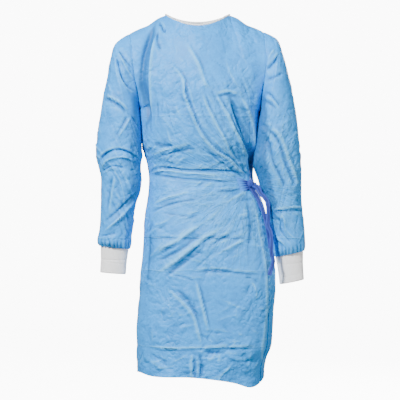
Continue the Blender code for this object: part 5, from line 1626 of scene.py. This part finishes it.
def a_colour(label, about, default):
    return bpy.props.FloatVectorProperty(name=label, description=about, default=default, subtype="COLOR")


def a_place(label, about, default):
    kind = "TRANSLATION"
    return bpy.props.FloatVectorProperty(name=label, description=about, default=default, subtype=kind)


class GownCloth(bpy.types.PropertyGroup):
    """The cloth of the front, the back and the sleeves."""

    wall: a_length("Thickness", "Thickness of the cloth", 0.0009)
    crease_scale: a_share("Crease depth", "Share of the large creases' depth", 1.25)
    crumple_scale: a_share("Crumple depth", "Share of the small creases' depth", 1.45)
    facet_scale: a_share("Facet depth", "Share of the crumpled facets' depth", 4.2)
    hem_wave: a_length("Hem wave", "How far the hem waves in and out", 0.0030)
    seam_roll: a_length("Seam dip", "How far the cloth dips into a seam", 0.0011)
    seam_fade: a_length("Seam fade", "How near to a seam the creases end", 0.016)
    edge_lift: a_length("Edge lift", "How far the free edge lies off the cloth below", 0.0018)
    gathers: a_count("Gathers", "Gathers round each sleeve's end", 22)
    gather_depth: a_length("Gather depth", "How far a gather stands out", 0.0030)
    stitch_length: a_length("Stitch length", "Length from stitch to stitch", 0.0040)
    thread_width: a_length("Thread width", "Width of the sewing thread", 0.0006)
    thread_colour: a_colour("Thread colour", "Colour of the sewing thread", (0.010, 0.22, 0.66))
    sheen: a_share("Sheen", "Sheen of the cloth", 0.06)
    colour: a_colour("Colour", "Colour of the cloth", (0.016, 0.345, 0.95))
    # The hollow colour is the painted shade in the cloth's hollows
    hollow_shade_colour: a_colour("Hollow shade colour", "Colour of the cloth in its hollows", (0.003, 0.125, 0.39))
    # The ridge colour is painted highlight on the ridges, and along the drag lines and packing creases partly
    # the whitening of folded cloth
    ridge_highlight_colour: a_colour("Ridge highlight colour", "Colour of the cloth on its ridges", (0.150, 0.58, 1.0))


class GownTrim(bpy.types.PropertyGroup):
    """The cuffs, the neck binding, the tab and the ties."""

    ribs: a_count("Ribs", "Ribs round each cuff", 62)
    rib_depth: a_length("Rib depth", "Half the height of a rib", 0.00022)
    cuff_wall: a_length("Cuff thickness", "Thickness of the knit", 0.0015)
    binding_height: a_length("Binding height", "How far the binding stands past the cloth's edge", 0.0040)
    binding_overlap: a_length("Binding overlap", "How far the binding lies over the cloth", 0.0012)
    binding_thick: a_length("Binding thickness", "Thickness of the folded binding", 0.0026)
    stitch_length: a_length("Stitch length", "Length from stitch to stitch", 0.0032)
    thread_width: a_length("Thread width", "Width of the sewing thread", 0.0009)
    pleat_depth: a_length("Pleat depth", "How far the gathered pleats stand out", 0.0036)
    tie_width: a_length("Tie width", "Width of the folded tie", TIE_WIDTH)
    cuff_colour: a_colour("Cuff colour", "Colour of the knit", (0.965, 0.970, 0.975))
    strip_colour: a_colour("Binding colour", "Colour of the binding and the tab", (0.90, 0.92, 0.94))
    thread_colour: a_colour("Thread colour", "Colour of the sewing thread", (0.20, 0.24, 0.30))
    # The gathered colour also stands as painted highlight on the pleats' tops
    gather_colour: a_colour("Gathered colour", "Colour of the gathers by the knot", (0.016, 0.24, 0.80))
    tie_colour: a_colour("Tie colour", "Colour of the ties", (0.014, 0.050, 0.36))


class GownStage(bpy.types.PropertyGroup):
    """The floor, the lights and the camera."""

    distance: a_length("View distance", "From the camera to the gown", 4.0)
    view_height: a_length("View height", "What the view shows from top to bottom at the gown", 1.14)
    middle: a_place("View middle", "The point in the middle of the view", (0.0071, 0.0, -0.4845))
    floor_drop: a_length("Floor", "How far the floor lies under the origin", 1.45)
    wall_at: a_length("Wall", "How far away the wall stands all round", 8.0)
    floor_glow: a_number("Floor glow", "Brightness of the floor and wall for the camera", 11.0)
    floor_colour: a_colour("Floor colour", "Colour of the floor and backdrop", (0.90, 0.90, 0.90))
    key_power: a_power("Key light", "Power of the key light", 480.0)
    fill_power: a_power("Fill light", "Power of the fill light", 65.0)
    back_power: a_power("Back light", "Power of the light behind the gown", 170.0)
    sky_strength: a_number("Sky", "Brightness of the surrounding light", 0.27)


# The studio: the lamps' places and sizes, the floor's flat part, its bend and the wall, and the camera
LAMPS = {"key": ((-2.0, -3.2, 2.5), 0.5), "fill": ((2.4, -2.6, -0.1), 2.0), "back": ((1.3, 3.6, 0.9), 1.2)}
FLOOR_FLAT = (0.01, 2.0, 4.0)
FLOOR_BEND = 1.2
WALL_HEIGHT = 6.0
SENSOR = 36.0
VIEW_REACH = 50.0


def soft_light(name, at, towards, size, power):
    """A square lamp at a point, turned towards another."""
    lamp = bpy.data.lights.new(name, "AREA")
    lamp.shape = "RECTANGLE"
    lamp.size = size
    lamp.size_y = size
    lamp.energy = power
    made = placed(name, lamp)
    made.location = at
    made.visible_camera = False
    aim = unit(np.array(towards, float) - np.array(at, float))
    side = unit(np.cross(aim, (0, 0, 1)))
    up = np.cross(side, aim)
    made.rotation_euler = Matrix((tuple(side), tuple(up), tuple(-aim))).transposed().to_euler()


def make_stage(stage):
    """A round floor that turns up into a wall all round: its section is flat, a quarter circle, then upright.

    It glows for the camera alone, so that it is white from every side without lighting the gown.
    """
    finish = Finish("studio floor", Specular_IOR_Level=0.2, Emission_Strength=stage.floor_glow)
    grain = finish.noise(3.0, 2.0, 0.5)
    pale = finish.blend(grain, shade(stage.floor_colour, 0.99), shade(stage.floor_colour))
    finish.set(Base_Color=pale, Emission_Color=pale, Roughness=0.85 + grain * 0.1)
    bend = FLOOR_BEND
    turn = np.linspace(0, math.pi / 2, FLOOR_BEND_ROWS)
    away = np.concatenate([FLOOR_FLAT, stage.wall_at - bend + bend * np.sin(turn), [stage.wall_at]])
    height = np.concatenate([[0.0] * len(FLOOR_FLAT), bend - bend * np.cos(turn), [WALL_HEIGHT]])
    height = height - stage.floor_drop
    about = np.arange(FLOOR_COLUMNS) / FLOOR_COLUMNS * 2 * math.pi
    across = away[:, None] * np.cos(about)
    deep = away[:, None] * np.sin(about)
    grid = np.stack(np.broadcast_arrays(across, deep, height[:, None]), axis=-1)
    _, quads = grid_faces(*across.shape, True)
    mesh = bpy.data.meshes.new("studio_floor")
    mesh.from_pydata(grid.reshape(-1, 3).tolist(), [], quads.tolist())
    mesh.shade_smooth()
    mesh.materials.append(finish.material)
    floor = placed("studio_floor", mesh)
    floor.visible_diffuse = False
    floor.visible_glossy = False
    middle = tuple(stage.middle)
    for key, (at, size) in LAMPS.items():
        soft_light(f"{key} light", at, middle, size, getattr(stage, f"{key}_power"))
    world = bpy.data.worlds.new("studio")
    world.use_nodes = True
    sky = world.node_tree.nodes["Background"].inputs
    sky["Color"].default_value = (1.0, 1.0, 1.0, 1.0)
    sky["Strength"].default_value = stage.sky_strength
    bpy.context.scene.world = world
    lens = bpy.data.cameras.new("camera")
    lens.sensor_width = SENSOR
    lens.lens = SENSOR * stage.distance / stage.view_height
    lens.clip_end = VIEW_REACH
    camera = placed("camera", lens)
    camera.location = (middle[0], middle[1] - stage.distance, middle[2])
    camera.rotation_euler = (math.pi / 2, 0.0, 0.0)
    bpy.context.scene.camera = camera


class GOWN_OT_panels(bpy.types.Operator):
    """Make the front, the inner back and the outer back"""

    bl_idname = "gown.panels"
    bl_label = "Make the panels"

    def execute(self, context):
        cloth = context.scene.gown_cloth
        make_front(cloth)
        make_inner_back(cloth)
        make_outer_back(cloth)
        return {"FINISHED"}


class GOWN_OT_sleeves(bpy.types.Operator):
    """Make both sleeves, gathered into their cuffs"""

    bl_idname = "gown.sleeves"
    bl_label = "Make the sleeves"

    def execute(self, context):
        for side in ("right", "left"):
            make_sleeve(side, context.scene.gown_cloth)
        return {"FINISHED"}


class GOWN_OT_cuffs(bpy.types.Operator):
    """Make both ribbed cuffs"""

    bl_idname = "gown.cuffs"
    bl_label = "Make the cuffs"

    def execute(self, context):
        for side in ("right", "left"):
            make_cuff(side, context.scene.gown_trim)
        return {"FINISHED"}


class GOWN_OT_neck(bpy.types.Operator):
    """Make the neck binding with its stitching, and the closing tab"""

    bl_idname = "gown.neck"
    bl_label = "Make the neck"

    def execute(self, context):
        make_binding(context.scene.gown_cloth, context.scene.gown_trim)
        make_tab(context.scene.gown_cloth, context.scene.gown_trim)
        return {"FINISHED"}


class GOWN_OT_ties(bpy.types.Operator):
    """Make the waist ties with their knot"""

    bl_idname = "gown.ties"
    bl_label = "Make the waist ties"

    def execute(self, context):
        trim = context.scene.gown_trim
        make_stretch("gown_tie_front", "tie_front", FRONT_STRETCH, trim)
        make_stretch("gown_tie_wrap", "tie_wrap", WRAP_STRETCH, trim)
        make_knot(trim)
        make_tail("gown_tie_tail_long", "tie_tail_long", LONG_TAIL, LONG_TURNS, trim)
        make_tail("gown_tie_tail_short", "tie_tail_short", SHORT_TAIL, SHORT_TURNS, trim)
        return {"FINISHED"}


class GOWN_OT_stage(bpy.types.Operator):
    """Make the floor, the lights and the camera"""

    bl_idname = "gown.stage"
    bl_label = "Make the stage"

    def execute(self, context):
        make_stage(context.scene.gown_stage)
        return {"FINISHED"}


class GOWN_PT_sidebar(bpy.types.Panel):
    """Lists the gown's operators and settings in the sidebar"""

    bl_idname = "GOWN_PT_sidebar"
    bl_label = "Surgical gown"
    bl_space_type = "VIEW_3D"
    bl_region_type = "UI"
    bl_category = "Gown"

    def draw(self, context):
        for name in ("stage", "panels", "sleeves", "cuffs", "neck", "ties"):
            self.layout.operator(f"gown.{name}")
        for group in (context.scene.gown_cloth, context.scene.gown_trim, context.scene.gown_stage):
            box = self.layout.box()
            for name in group.__annotations__:
                box.prop(group, name)


GROUPS = (("gown_cloth", GownCloth), ("gown_trim", GownTrim), ("gown_stage", GownStage))
CLASSES = (
    GOWN_OT_panels,
    GOWN_OT_sleeves,
    GOWN_OT_cuffs,
    GOWN_OT_neck,
    GOWN_OT_ties,
    GOWN_OT_stage,
    GOWN_PT_sidebar,
)


def register():
    for name, group in GROUPS:
        bpy.utils.register_class(group)
        setattr(bpy.types.Scene, name, bpy.props.PointerProperty(type=group))
    for made in CLASSES:
        bpy.utils.register_class(made)


def unregister():
    for made in reversed(CLASSES):
        bpy.utils.unregister_class(made)
    for name, group in reversed(GROUPS):
        delattr(bpy.types.Scene, name)
        bpy.utils.unregister_class(group)


def main():
    register()
    bpy.ops.gown.stage()
    bpy.ops.gown.panels()
    bpy.ops.gown.sleeves()
    bpy.ops.gown.cuffs()
    bpy.ops.gown.neck()
    bpy.ops.gown.ties()


if __name__ == "__main__":
    main()
